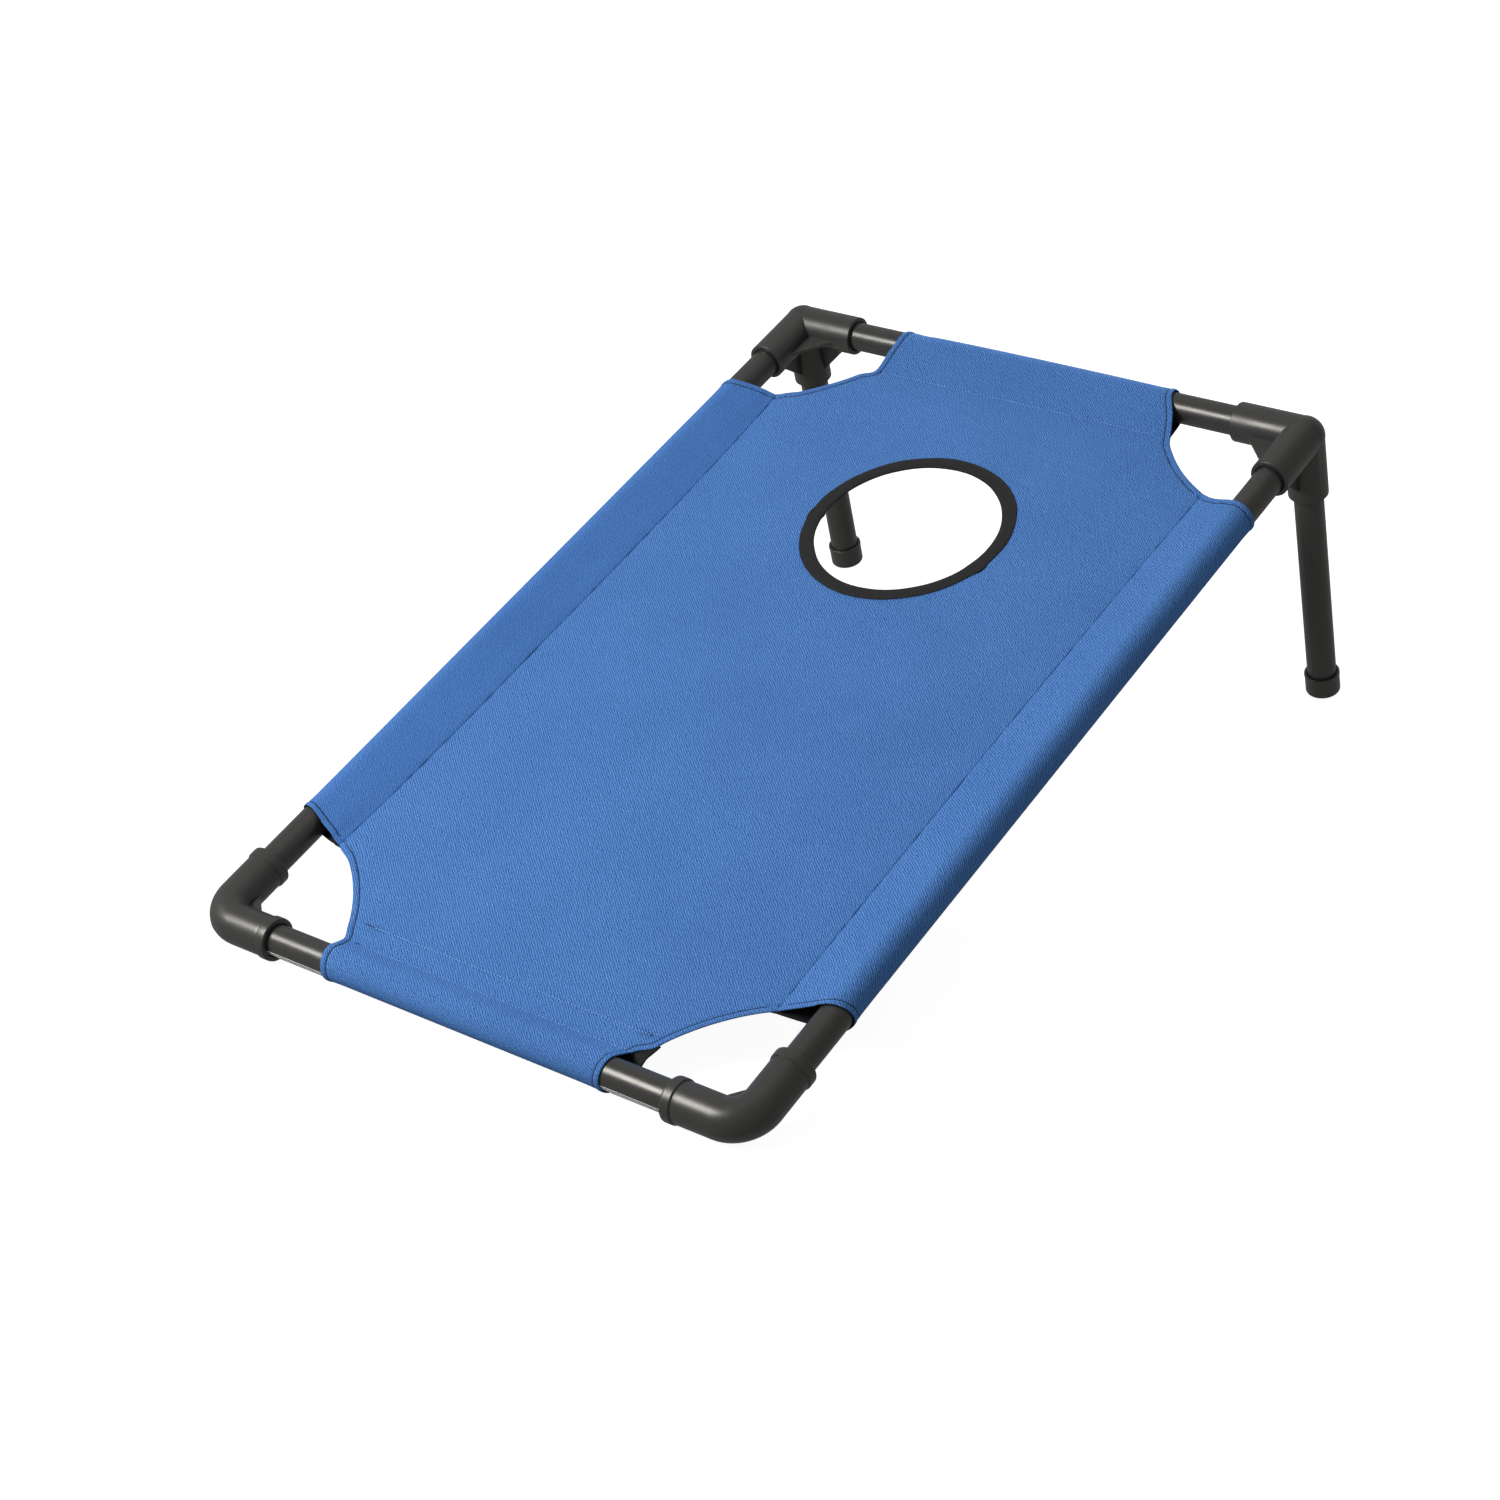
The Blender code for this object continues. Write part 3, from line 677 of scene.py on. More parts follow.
def front_elbow(side, sign, material):
    """Swept elbow: a bead and a fine groove at each mouth, stepped bore, moulding line outside."""
    name = f"front_{side}_elbow"
    centre = Vector((sign * HALF_WIDTH, -HALF_LENGTH, 0))
    along_front = Vector((-sign, 0, 0))
    along_side = Vector((0, 1, 0))
    hub = centre + (along_front + along_side) * ELBOW_BEND
    outside = [
        (0.0, SOCKET_RADIUS + 0.0007),
        (0.0, BEAD_RADIUS - 0.0015),
        (0.0003, BEAD_RADIUS - 0.0007),
        (0.0009, BEAD_RADIUS - 0.0002),
        (0.0018, BEAD_RADIUS),
        (BEAD_WIDTH - 0.0016, BEAD_RADIUS),
        (BEAD_WIDTH - 0.0008, BEAD_RADIUS - 0.0002),
        (BEAD_WIDTH - 0.0003, BEAD_RADIUS - 0.0008),
        (BEAD_WIDTH, ELBOW_RADIUS - 0.0002),
        (BEAD_WIDTH + 0.0008, ELBOW_RADIUS - 0.0004),
        (BEAD_WIDTH + 0.0020, ELBOW_RADIUS - 0.0001),
        (BEAD_WIDTH + 0.0032, ELBOW_RADIUS),
    ]
    inside = [
        (0.0007, SOCKET_RADIUS),
        (SOCKET_DEPTH, SOCKET_RADIUS),
        (SOCKET_DEPTH + GAP, PASSAGE_RADIUS),
    ]
    plain = len(outside) - 4           # rings nearer the mouth have no parting line
    bend = []
    for angle in quarter(14):
        spoke = along_side * math.cos(angle) + along_front * math.sin(angle)
        bend.append((hub - spoke * ELBOW_BEND, spoke))

    def rings(ends):
        """Centre, spoke and radius of each ring, from the front mouth round to the side one."""
        path = []
        for inset, radius in ends:
            path.append((centre + along_front * (ARM_LENGTH - inset), along_side, radius))
        path += [(point, spoke, ends[-1][1]) for point, spoke in bend]
        for inset, radius in reversed(ends):
            path.append((centre + along_side * (ARM_LENGTH - inset), along_front, radius))
        return path

    def ring_point(point, spoke, radius, angle):
        return point + spoke * (radius * math.cos(angle)) + UP * (radius * math.sin(angle))

    around = [2 * math.pi * step / SIDES for step in range(SIDES)]
    parting = (0, math.pi)
    around = sorted(around + [line + side * RIDGE_WIDTH for line in parting for side in (-1, 1)])
    outer = rings(outside)
    path = outer + rings(inside)[::-1]
    vertices = []
    for index, (point, spoke, radius) in enumerate(path):
        ridge = PARTING_RIDGE if plain < index < len(outer) - plain else 0
        for angle in around:
            reach = radius + (ridge if angle in parting else 0)
            vertices.append(ring_point(point, spoke, reach, angle))
    obj = piece(name + "_body", vertices, ring_faces(len(path), len(around), True), BOARD)

    rib = web(name + "_web", along_front, along_side, FRONT_WEB, centre)
    rib.matrix_world = BOARD
    core = [
        (centre + along_front * FRONT_WEB, along_side),
        *bend,
        (centre + along_side * FRONT_WEB, along_front),
    ]
    turns = np.linspace(0, 2 * math.pi, SIDES, endpoint=False)
    reach = (SOCKET_RADIUS + ELBOW_RADIUS) / 2
    vertices = [ring_point(*station, reach, turn) for station in core for turn in turns]
    core_piece = piece(name + "_core", vertices, capped_faces(len(core), SIDES), BOARD)
    combine(rib, core_piece, "DIFFERENCE")
    combine(obj, rib, "UNION")
    dress(smooth(obj), "frame", material, "black_fitting", name)


def arm_profile(length):
    """Outer side of a rear fitting's arm, from its eased mouth down to the fitting's centre."""
    radius = CORNER_RADIUS
    return [
        (0, length),
        (radius - 0.0011, length),
        (radius - 0.0005, length - 0.0002),
        (radius - 0.0001, length - 0.0006),
        (radius, length - 0.0012),
        (radius, 0),
        (0, 0),
    ]


def bore_profile(length):
    """Stepped bore, eased at the mouth, which runs on past it for a clean cut."""
    return [
        (0, length + BORE_OVERRUN),
        (SOCKET_RADIUS + BORE_EASE, length + BORE_OVERRUN),
        (SOCKET_RADIUS + BORE_EASE, length),
        (SOCKET_RADIUS, length - BORE_EASE),
        (SOCKET_RADIUS, STOP),
        (PASSAGE_RADIUS, STOP),
        (PASSAGE_RADIUS, 0),
        (0, 0),
    ]


def ball(name, radius, centre):
    rings = SIDES // 2
    angles = [math.pi * ring / rings for ring in range(rings + 1)]
    profile = [(radius * math.sin(angle), radius * math.cos(angle)) for angle in angles]
    return turned(name, profile, Matrix.Translation(centre))


def mirror_image(obj, name):
    """Copy of a piece on the board's other side, its mesh and its place mirrored."""
    flip = Matrix.Scale(-1, 4, (1, 0, 0))
    mesh = obj.data.copy()
    mesh.name = name
    mesh.transform(flip)
    mesh.flip_normals()
    twin = link(bpy.data.objects.new(name, mesh))
    twin.matrix_world = flip @ obj.matrix_world @ flip
    return twin


def right_corner():
    """Three-way corner: three arms that meet in crisp creases, webs between them, stepped bores."""
    name = "rear_right_corner"
    centre = BOARD @ Vector((HALF_WIDTH, HALF_LENGTH, 0))
    turn = BOARD.to_3x3()
    arms = {
        "back": turn @ Vector((-1, 0, 0)),
        "side": turn @ Vector((0, -1, 0)),
        "leg": Vector(FEET["right_foot"]["axis"]),
    }
    body = ball(name + "_body", CORNER_BALL, centre)
    for arm, direction in arms.items():
        tool = turned(f"{name}_{arm}", arm_profile(REAR_ARMS[arm]), along(centre, direction))
        combine(body, tool, "UNION")
    for first, second in (("back", "side"), ("side", "leg"), ("leg", "back")):
        rib = web(f"{name}_{first}_web", arms[first], arms[second], REAR_WEB, centre)
        combine(body, rib, "UNION")
    hollow = ball(f"{name}_hollow", PASSAGE_BALL, centre)
    for arm, direction in arms.items():
        tool = turned(f"{name}_{arm}_bore", bore_profile(REAR_ARMS[arm]), along(centre, direction))
        combine(hollow, tool, "UNION")
    combine(body, hollow, "DIFFERENCE")
    return body


def rear_corners(material):
    right = right_corner()
    left = mirror_image(right, "rear_left_corner_body")
    for side, body in (("left", left), ("right", right)):
        dress(smooth(body), "frame", material, "black_fitting", f"rear_{side}_corner")


# ---------------------------------------------------------------- cloth: how it wraps

def sleeve_section(close, tail):
    """Blue face of a sleeve in section, as (distance in from the rail, height).

    It runs from the lower layer's end, under and round the rail, to the closing line on top.
    """
    tangent = math.acos(SLEEVE_RADIUS / close)
    sweep = 2 * (math.pi - tangent)
    steps = 80
    points = [(close + tail, FACE - LAYER_DROP), (close, FACE - LAYER_DROP)]
    for step in range(steps + 1):
        angle = -tangent - sweep * step / steps
        points.append((SLEEVE_RADIUS * math.cos(angle), SLEEVE_RADIUS * math.sin(angle)))
    points.append((close, FACE))
    return points


def crest_to_close(close):
    """Length of cloth from the top of a rail to the line that closes its sleeve."""
    tangent = math.acos(SLEEVE_RADIUS / close)
    return SLEEVE_RADIUS * (math.pi / 2 - tangent) + math.sqrt(close ** 2 - SLEEVE_RADIUS ** 2)


def run_of(line):
    """Distance of each of a line's points from its start, measured along it."""
    return np.concatenate([[0], np.cumsum(np.linalg.norm(np.diff(line, axis=0), axis=1))])


def points_at(distance, line):
    """Points at distances along a line."""
    run = run_of(line)
    return np.stack([np.interp(distance, run, line[:, axis]) for axis in (0, 1)], 1)


def circle(centre, radius, angle):
    """Points round a centre, with an array of angles or of radii."""
    return np.stack([centre[0] + radius * np.cos(angle), centre[1] + radius * np.sin(angle)], 1)


class Wrap:
    """A line in section that cloth follows, read by flat distance along it."""

    STEP = 0.00025
    EASE = 5

    def __init__(self, points, zero):
        """zero is (coordinate, flat distance): where the line crosses coordinate on top."""
        line = np.array(points, float)
        length = run_of(line)[-1]
        line = points_at(np.linspace(0, length, int(length / self.STEP)), line)
        window = np.ones(2 * self.EASE + 1) / (2 * self.EASE + 1)
        eased = np.stack([np.convolve(line[:, axis], window, "same") for axis in (0, 1)], 1)
        line[self.EASE:-self.EASE] = eased[self.EASE:-self.EASE]
        run = run_of(line)
        upper = np.where(np.abs(line[:, 1] - FACE) < 0.0001)[0]
        nearest = upper[np.argmin(np.abs(line[upper, 0] - zero[0]))]
        self.flat = run - run[nearest] + (zero[1] - (zero[0] - line[nearest, 0]))
        tangent = np.gradient(line, axis=0)
        tangent /= np.linalg.norm(tangent, axis=1)[:, None]
        self.line = line
        self.normal = np.stack([-tangent[:, 1], tangent[:, 0]], 1)

    def at(self, flat):
        """Coordinate, height and normal at flat distances along the line."""
        return [np.interp(flat, self.flat, values) for values in (*self.line.T, *self.normal.T)]


def loose_back(points):
    """Slack over the back rail's crest and outer side, nothing at the sleeve's mouths."""
    round_rail = bell(points[:, 1] - CREST[1] - SLACK_MIDDLE.y, SLACK_REACH.y)
    along_rail = np.clip(1 - ((points[:, 0] - SLACK_MIDDLE.x) / SLACK_REACH.x) ** 2, 0, 1) ** 0.5
    return SLACK * round_rail * along_rail


def sag(x, y):
    """Height of the cloth's slack between the rails, with soft unevenness."""
    across = np.clip(1 - (x / (HALF_WIDTH - SAG_INSET)) ** 2, 0, None)
    deep = np.clip(1 - (y / (HALF_LENGTH - SAG_INSET)) ** 2, 0, None)
    uneven = 0
    for height, wide, long, (shift, layer) in WAVES:
        ripple = [noise.noise((px / wide + shift, py / long, layer)) for px, py in zip(x, y)]
        uneven = uneven + height * np.array(ripple)
    return -SAG * across * deep + np.sqrt(across * deep) * uneven


def seam_drift(x, y):
    """Sideways wander of the two side seams, in the board's plane."""
    near = np.exp(-((np.abs(x) - (HALF_WIDTH - SIDE_CLOSE)) / 0.012) ** 4)
    left = 0.0015 - 0.0055 * (y / SEAM_REACH) ** 4
    right = -0.0030 + 0.0030 * (y / SEAM_REACH) ** 2
    return near * np.where(x < 0, left, right)


def placer(wrap, axis):
    """Function that takes flat points to the board, wrapped along one axis and sagging."""
    def place(flat, height):
        wrapped, z, normal, normal_z = wrap.at(flat[:, axis])
        coordinates = [flat[:, 0], flat[:, 1]]
        coordinates[axis] = wrapped + normal * height
        x, y = coordinates
        return np.stack([x + seam_drift(x, y), y, z + normal_z * height + sag(x, y)], 1)
    return place


# ---------------------------------------------------------------- cloth: cutting and meshing

def smooth_run(points, step):
    """Evenly spaced points on a Catmull-Rom curve through the given ones."""
    knots = np.array(points, float)
    knots = np.vstack([2 * knots[0] - knots[1], knots, 2 * knots[-1] - knots[-2]])
    dense = []
    for before, start, end, after in zip(knots, knots[1:], knots[2:], knots[3:]):
        for share in np.linspace(0, 1, 24, endpoint=False):
            dense.append(0.5 * (2 * start + (end - before) * share
                                + (2 * before - 5 * start + 4 * end - after) * share ** 2
                                + (3 * start - before - 3 * end + after) * share ** 3))
    dense.append(knots[-2])
    dense = np.array(dense)
    length = run_of(dense)[-1]
    return points_at(np.linspace(0, length, max(2, round(length / step)) + 1), dense)


def tree_of(points):
    tree = kdtree.KDTree(len(points))
    for index, (u, s) in enumerate(points):
        tree.insert((u, s, 0), index)
    tree.balance()
    return tree


def distances(tree, points):
    return np.array([tree.find((u, s, 0))[2] for u, s in points])


def inside(points, outline):
    """Which points lie inside a closed outline."""
    x, y = points[:, 0][:, None], points[:, 1][:, None]
    x0, y0 = outline[:, 0][None], outline[:, 1][None]
    x1, y1 = np.roll(outline[:, 0], -1)[None], np.roll(outline[:, 1], -1)[None]
    crossing = (y0 > y) != (y1 > y)
    where = x0 + (y - y0) * (x1 - x0) / np.where(y1 == y0, 1, y1 - y0)
    return (crossing & (x < where)).sum(1) % 2 == 1


class Cut:
    """A flat piece of cloth: its outline with free edges (hems) and sewn edges (seams)."""

    STEP = 0.0025
    HOLE_SIDES = 160
    HOLE_CLEAR = 0.002
    SAME_POINT = 0.00001
    RINGS = (0.0005, 0.0011, 0.0020, 0.0032, 0.0042, 0.0048, 0.0052, 0.0056, 0.0063, 0.0080)

    def __init__(self, runs, hole=None):
        """runs are (kind, points) in anticlockwise order, each starting where the last ended."""
        outline, kinds = [], []
        for kind, points in runs:
            even = smooth_run(points, self.STEP)[:-1]
            outline.append(even)
            kinds += [kind] * len(even)
        self.outline = np.vstack(outline)
        self.hem = np.array(kinds) == "hem"
        self.hole = hole
        tangent = np.roll(self.outline, -1, 0) - np.roll(self.outline, 1, 0)
        tangent /= np.linalg.norm(tangent, axis=1)[:, None]
        self.outward = np.stack([tangent[:, 1], -tangent[:, 0]], 1)
        fine = []
        fine_hem = []
        for index in range(len(self.outline)):
            here, there = self.outline[index], self.outline[(index + 1) % len(self.outline)]
            for share in np.linspace(0, 1, 8, endpoint=False):
                fine.append(here + (there - here) * share)
                fine_hem.append(self.hem[index])
        fine, fine_hem = np.array(fine), np.array(fine_hem)
        self.edge_tree = tree_of(fine)
        self.hem_tree = tree_of(fine[fine_hem])
        self.seam_tree = tree_of(fine[~fine_hem])

    def to_hem(self, points):
        return distances(self.hem_tree, points)

    def to_seam(self, points):
        return distances(self.seam_tree, points)

    def inner_line(self, inset):
        """The outline moved in by inset, without the stretches that a corner crosses out."""
        moved = self.outline - self.outward * inset
        keep = distances(self.edge_tree, moved) > inset * 0.97 - 0.00005
        return moved, keep

    def filling(self, rows, spacing):
        """Points that fill the inside: rings near the edges, then staggered rows."""
        points = []
        for inset in self.RINGS:
            moved, keep = self.inner_line(inset)
            points.append(moved[keep])
        low, high = self.outline[:, 0].min(), self.outline[:, 0].max()
        grid = []
        for index, row in enumerate(rows):
            shift = spacing / 2 if index % 2 else 0
            grid += [(u, row) for u in np.arange(low + shift, high, spacing)]
        grid = np.array(grid)
        grid = grid[inside(grid, self.outline)]
        grid = grid[distances(self.edge_tree, grid) > self.RINGS[-1] + spacing * 0.5]
        points.append(grid)
        return np.vstack(points)

    def mesh(self, extra):
        """Triangles of the cut, as (points, faces, index of each outline point)."""
        count = len(self.outline)
        edges = [(i, (i + 1) % count) for i in range(count)]
        points = [self.outline]
        if self.hole is not None:
            centre, radius = self.hole
            sides = self.HOLE_SIDES
            turn = np.linspace(0, 2 * math.pi, sides, endpoint=False)
            points.append(circle(centre, radius, turn))
            edges += [(count + i, count + (i + 1) % sides) for i in range(sides)]
            away = np.linalg.norm(extra - np.array(centre), axis=1)
            extra = extra[away > radius + self.HOLE_CLEAR]
        points = np.vstack([*points, extra])
        made, _, faces, sources, _, _ = geometry.delaunay_2d_cdt(
            [Vector(p) for p in points], edges, [], 1, self.SAME_POINT)
        made = np.array([tuple(v) for v in made])
        faces = np.array([face for face in faces if len(face) == 3])
        centres = made[faces].mean(1)
        keep = inside(centres, self.outline)
        if self.hole is not None:
            keep &= np.linalg.norm(centres - np.array(self.hole[0]), axis=1) > self.hole[1] * 0.9995
        faces = faces[keep]
        corner = made[faces]
        side_a, side_b = corner[:, 1] - corner[:, 0], corner[:, 2] - corner[:, 0]
        turned_over = side_a[:, 0] * side_b[:, 1] - side_a[:, 1] * side_b[:, 0] < 0
        faces[turned_over] = faces[turned_over][:, ::-1]
        place_of = {}
        for index, origin in enumerate(sources):
            for source in origin:
                place_of[source] = index
        return made, faces, [place_of[i] for i in range(count)]


# Rings of the turned-in edge, as (distance out from the fold, depth under the blue face,
# length of cloth used so far). A hem turns under; a seam's edge goes down into the valley.
HEM_FOLD = (
    (0.00028, 0.00018, 0.0003),
    (0.00042, 0.00060, 0.0008),
    (0.00028, 0.00110, 0.0013),
    (-0.00070, 0.00136, 0.0024),
    (-0.00300, 0.00138, 0.0047),
    (-0.00560, 0.00136, 0.0073),
)
SEAM_FOLD = (
    (-0.00002, 0.00045, 0.0005),
    (-0.00004, 0.00090, 0.0009),
    (-0.00006, 0.00130, 0.0013),
    (-0.00008, 0.00160, 0.0016),
    (-0.00010, 0.00180, 0.0018),
    (-0.00012, 0.00200, 0.0020),
)


def cloth_mesh(name, positions, faces, flats):
    """Piece in the board's frame whose vertices keep their place on the flat cloth."""
    mesh = bpy.data.meshes.new(name)
    mesh.from_pydata([tuple(p) for p in positions], [], faces)
    flat = mesh.attributes.new("flat", "FLOAT_VECTOR", "POINT")
    flat.data.foreach_set("vector", [part for u, s in flats for part in (u, s, 0)])
    mesh.shade_smooth()
    obj = link(bpy.data.objects.new(name, mesh))
    obj.matrix_world = BOARD
    return obj


def cloth_piece(name, cut, place, lift, under, rows, spacing, extra_points, materials):
    """Meshes a cut, lifts and wraps it, folds its edges and gives it thickness.

    under tells which points are on a sleeve's lower layer, whose turned edge shows its backing.
    """
    filling = np.vstack([cut.filling(rows, spacing), *extra_points])
    points, faces, rim = cut.mesh(filling)
    heights = lift(points)
    positions = place(points, heights)
    flats = list(points)
    positions = list(positions)
    faces = [tuple(int(i) for i in face) for face in faces]
    hem_share = cut.hem.astype(float)
    for _ in range(3):
        hem_share = (np.roll(hem_share, 1) + hem_share + np.roll(hem_share, -1)) / 3
    rim_height = lift(cut.outline)
    relief = list(heights)
    turned_under = under(cut.outline)
    slots = [0] * len(faces)
    previous = list(rim)
    count = len(rim)
    for fold in zip(HEM_FOLD, SEAM_FOLD):
        out, down, used = (hem_share * hem + (1 - hem_share) * seam for hem, seam in zip(*fold))
        ring = cut.outline + cut.outward * out[:, None]
        start = len(positions)
        positions += list(place(ring, rim_height - down))
        relief += list(rim_height)
        flats += list(cut.outline + cut.outward * used[:, None])
        current = list(range(start, start + count))
        for i in range(count):
            j = (i + 1) % count
            faces.append((previous[i], current[i], current[j], previous[j]))
            slots.append(1 if turned_under[i] else 0)
        previous = current
    obj = cloth_mesh(name, positions, faces, flats)
    # Painted shade for the cloth's hollows, by their relief, read by its material.
    hollow = obj.data.attributes.new("hollow", "FLOAT", "POINT")
    hollow.data.foreach_set("value", hollow_shade(np.array(relief)))
    for material in materials:
        obj.data.materials.append(material)
    obj.data.polygons.foreach_set("material_index", slots)
    solid = obj.modifiers.new("thickness", "SOLIDIFY")
    solid.thickness = CLOTH
    solid.offset = -1
    solid.use_rim = True
    solid.material_offset = 1
    solid.material_offset_rim = 0
    return obj


def hollow_shade(relief):
    """How dark a hollow is shaded, 0 to 1, by its relief."""
    return np.clip((-relief - SHALLOW) / (DEEPEST - SHALLOW), 0, 1)


def bell(distance, width):
    return np.exp(-(distance / width) ** 2)


def hem_lift(edge):
    """Relief of a hem by distance from the edge: a doubled roll, then the stitched groove."""
    roll = HEM_ROLL / (1 + np.exp((edge - HEM_ROLL_WIDTH) / 0.00025))
    return roll - HEM_GROOVE * bell(edge - HEM, 0.0008) - 0.00020 * bell(edge, 0.0005)


def seam_lift(edge, length):
    """Relief beside a side seam: the cloth dips to the seam, with slight puckers along it."""
    pucker = np.array([noise.noise((s / PUCKER, 0.5, 8.1)) for s in length])
    valley = (0.00026 + 0.00020 * pucker) * bell(edge, 0.0008)
    return -valley - (0.00018 + 0.00016 * pucker) * bell(edge, 0.0055)


def mouth_lift(edge, round_rail):
    """How far a sleeve's mouth stands off, where round_rail says that it is round its rail."""
    return MOUTH_LIFT * bell(edge, MOUTH_REACH) * np.clip(round_rail / 0.01, 0, 1)


# ---------------------------------------------------------------- cloth: the pieces

class Corner:
    """Cut-out at one corner of the cover.

    radius is the arc's at its narrowest angle and flare is how it opens to both sides; mouth and
    side list the edge of the two sleeves' mouths as (cloth from the rail's crest inwards, distance
    in from the other rail's centre line).
    """

    def __init__(self, radius, flare, mouth, side, narrowest=45):
        self.radius = radius
        self.flare = flare
        self.narrowest = math.radians(narrowest)
        self.mouth = mouth
        self.side = side

    def reach(self, angle):
        return self.radius + self.flare * ((angle - self.narrowest) / math.radians(30)) ** 2

    def seam_angle(self):
        angle = math.radians(66)
        for _ in range(8):
            angle = math.acos(SIDE_CLOSE / self.reach(angle))
        return angle

    def seam_end(self):
        """Distance of the side seam's end from the front or back rail."""
        angle = self.seam_angle()
        return self.reach(angle) * math.sin(angle)


CORNERS = {
    (-1, -1): Corner(
        0.1135, 0.0062,
        [(0.0300, 0.1190), (0.0150, 0.1235), (0, 0.1260), (-0.022, 0.1290), (-0.044, 0.1285),
         (-0.060, 0.1265), (-0.0955, 0.1230)],
        [(0.024, 0.1150), (0, 0.1235), (-0.022, 0.1265), (-0.044, 0.1225), (-0.068, 0.1140),
         (-0.0915, 0.1070), (-0.1013, 0.1060)]),
    (1, -1): Corner(
        0.1115, 0.0058,
        [(0.0300, 0.1225), (0.0150, 0.1250), (0, 0.1258), (-0.022, 0.1270), (-0.040, 0.1240),
         (-0.054, 0.1160), (-0.0662, 0.1122), (-0.0734, 0.1105), (-0.0800, 0.1090), (-0.0868, 0.1076)],
        [(0.024, 0.1120), (0, 0.1180), (-0.022, 0.1230), (-0.044, 0.1175), (-0.068, 0.1100),
         (-0.0915, 0.1040), (-0.1013, 0.1030)]),
    (-1, 1): Corner(
        0.1100, 0.0085,
        [(0.0445, 0.1125), (0.0220, 0.1158), (0, 0.1190), (-0.022, 0.1210), (-0.044, 0.1185),
         (-0.060, 0.1150), (-0.0945, 0.1110)],
        [(0.024, 0.1085), (0, 0.1140), (-0.022, 0.1175), (-0.044, 0.1130), (-0.068, 0.1060),
         (-0.0915, 0.1030), (-0.1013, 0.1020)]),
    (1, 1): Corner(
        0.1103, 0.0060,
        [(0.0445, 0.1105), (0.0220, 0.1190), (0, 0.1300), (-0.022, 0.1310), (-0.044, 0.1250),
         (-0.060, 0.1200), (-0.0945, 0.1105)],
        [(0.0365, 0.1073), (0.0270, 0.1106), (0.012, 0.1134), (0, 0.1160), (-0.022, 0.1187),
         (-0.044, 0.1150), (-0.068, 0.1080), (-0.0915, 0.1030), (-0.1013, 0.1020)], 58),
}
CREST = {
    -1: HALF_LENGTH - FRONT_CLOSE + crest_to_close(FRONT_CLOSE),
    1: HALF_LENGTH - BACK_CLOSE + crest_to_close(BACK_CLOSE),
}
CLOSE = {-1: FRONT_CLOSE, 1: BACK_CLOSE}
TAIL_BEND = 0.120              # where the front tail's edge turns in to its right corner
LOWER_FROM = 0.032             # cloth from a rail's crest outwards to where its lower layer starts


def target_corner(x_sign, y_sign):
    """Flat points of the target's edge, from the side seam round the cut-out to the lower layer."""
    corner = CORNERS[x_sign, y_sign]
    close = CLOSE[y_sign]
    first = corner.seam_angle()
    last = math.asin((close + 0.010) / corner.reach(math.radians(20)))
    edge = []
    for angle in np.linspace(first, last, 9):
        reach = corner.reach(angle)
        path = reach * math.sin(angle) - close + crest_to_close(close)
        edge.append((path, reach * math.cos(angle)))
    edge += corner.mouth
    return [(x_sign * (HALF_WIDTH - a), y_sign * (CREST[y_sign] - path)) for path, a in edge]


def target_cut():
    corners = {key: target_corner(*key) for key in CORNERS}
    front_left, front_right = corners[-1, -1], corners[1, -1]
    back_left, back_right = corners[-1, 1], corners[1, 1]
    tail_bend = (TAIL_BEND, front_left[-1][1])
    return Cut([
        ("hem", front_left),
        ("hem", [front_left[-1], tail_bend]),
        ("hem", [tail_bend, front_right[-1]]),
        ("hem", front_right[::-1]),
        ("seam", [front_right[0], back_right[0]]),
        ("hem", back_right),
        ("hem", [back_right[-1], back_left[-1]]),
        ("hem", back_left[::-1]),
        ("seam", [back_left[0], front_left[0]]),
    ], (HOLE_CENTRE, HOLE_CUT))


def target_wrap():
    front = [(d - HALF_LENGTH, z) for d, z in sleeve_section(FRONT_CLOSE, FRONT_TAIL)]
    back = [(HALF_LENGTH - d, z) for d, z in sleeve_section(BACK_CLOSE, BACK_TAIL)]
    return Wrap(front + back[::-1], (0, 0))


# Straight stitch lines: flat distance along the board, then their left and right ends.
STITCH_LINES = {
    "front_inner": (-0.3872, -0.136, 0.152),
    "front_outer": (-0.4079, -0.130, 0.148),
    "back": (0.3905, -0.152, 0.149),
}
# Back stitches that lock those lines' ends, as points of short zigzags.
TACKS = (
    ((-0.146, -0.3863), (-0.134, -0.3871), (-0.146, -0.3877), (-0.135, -0.3869)),
    ((-0.140, -0.4073), (-0.128, -0.4079), (-0.140, -0.4085), (-0.129, -0.4078)),
    ((0.143, -0.3866), (0.152, -0.3872), (0.144, -0.3878)),
    ((0.140, 0.3910), (0.149, 0.3905), (0.141, 0.3899)),
)


def beyond(distance):
    """0 before a place and 1 after it, with a millimetre's ease."""
    return 1 / (1 + np.exp(-distance / 0.001))


def line_lift(points):
    """Shallow furrows under the straight stitch lines, with the cloth raised a little beside them."""
    total = np.zeros(len(points))
    for along_board, left, right in STITCH_LINES.values():
        within = beyond(points[:, 0] - left) * beyond(right - points[:, 0])
        total -= FURROW * within * bell(points[:, 1] - along_board, 0.0009)
        total += BANK * within * bell(points[:, 1] - along_board, 0.005)
    return total


def rows_between(low, high, spacing, rails=()):
    """Row positions, closer together where the cloth goes round a rail."""
    rows = [low]
    while rows[-1] < high:
        fine = any(start < rows[-1] < end for start, end in rails)
        rows.append(rows[-1] + (FINE_ROW if fine else spacing))
    return rows


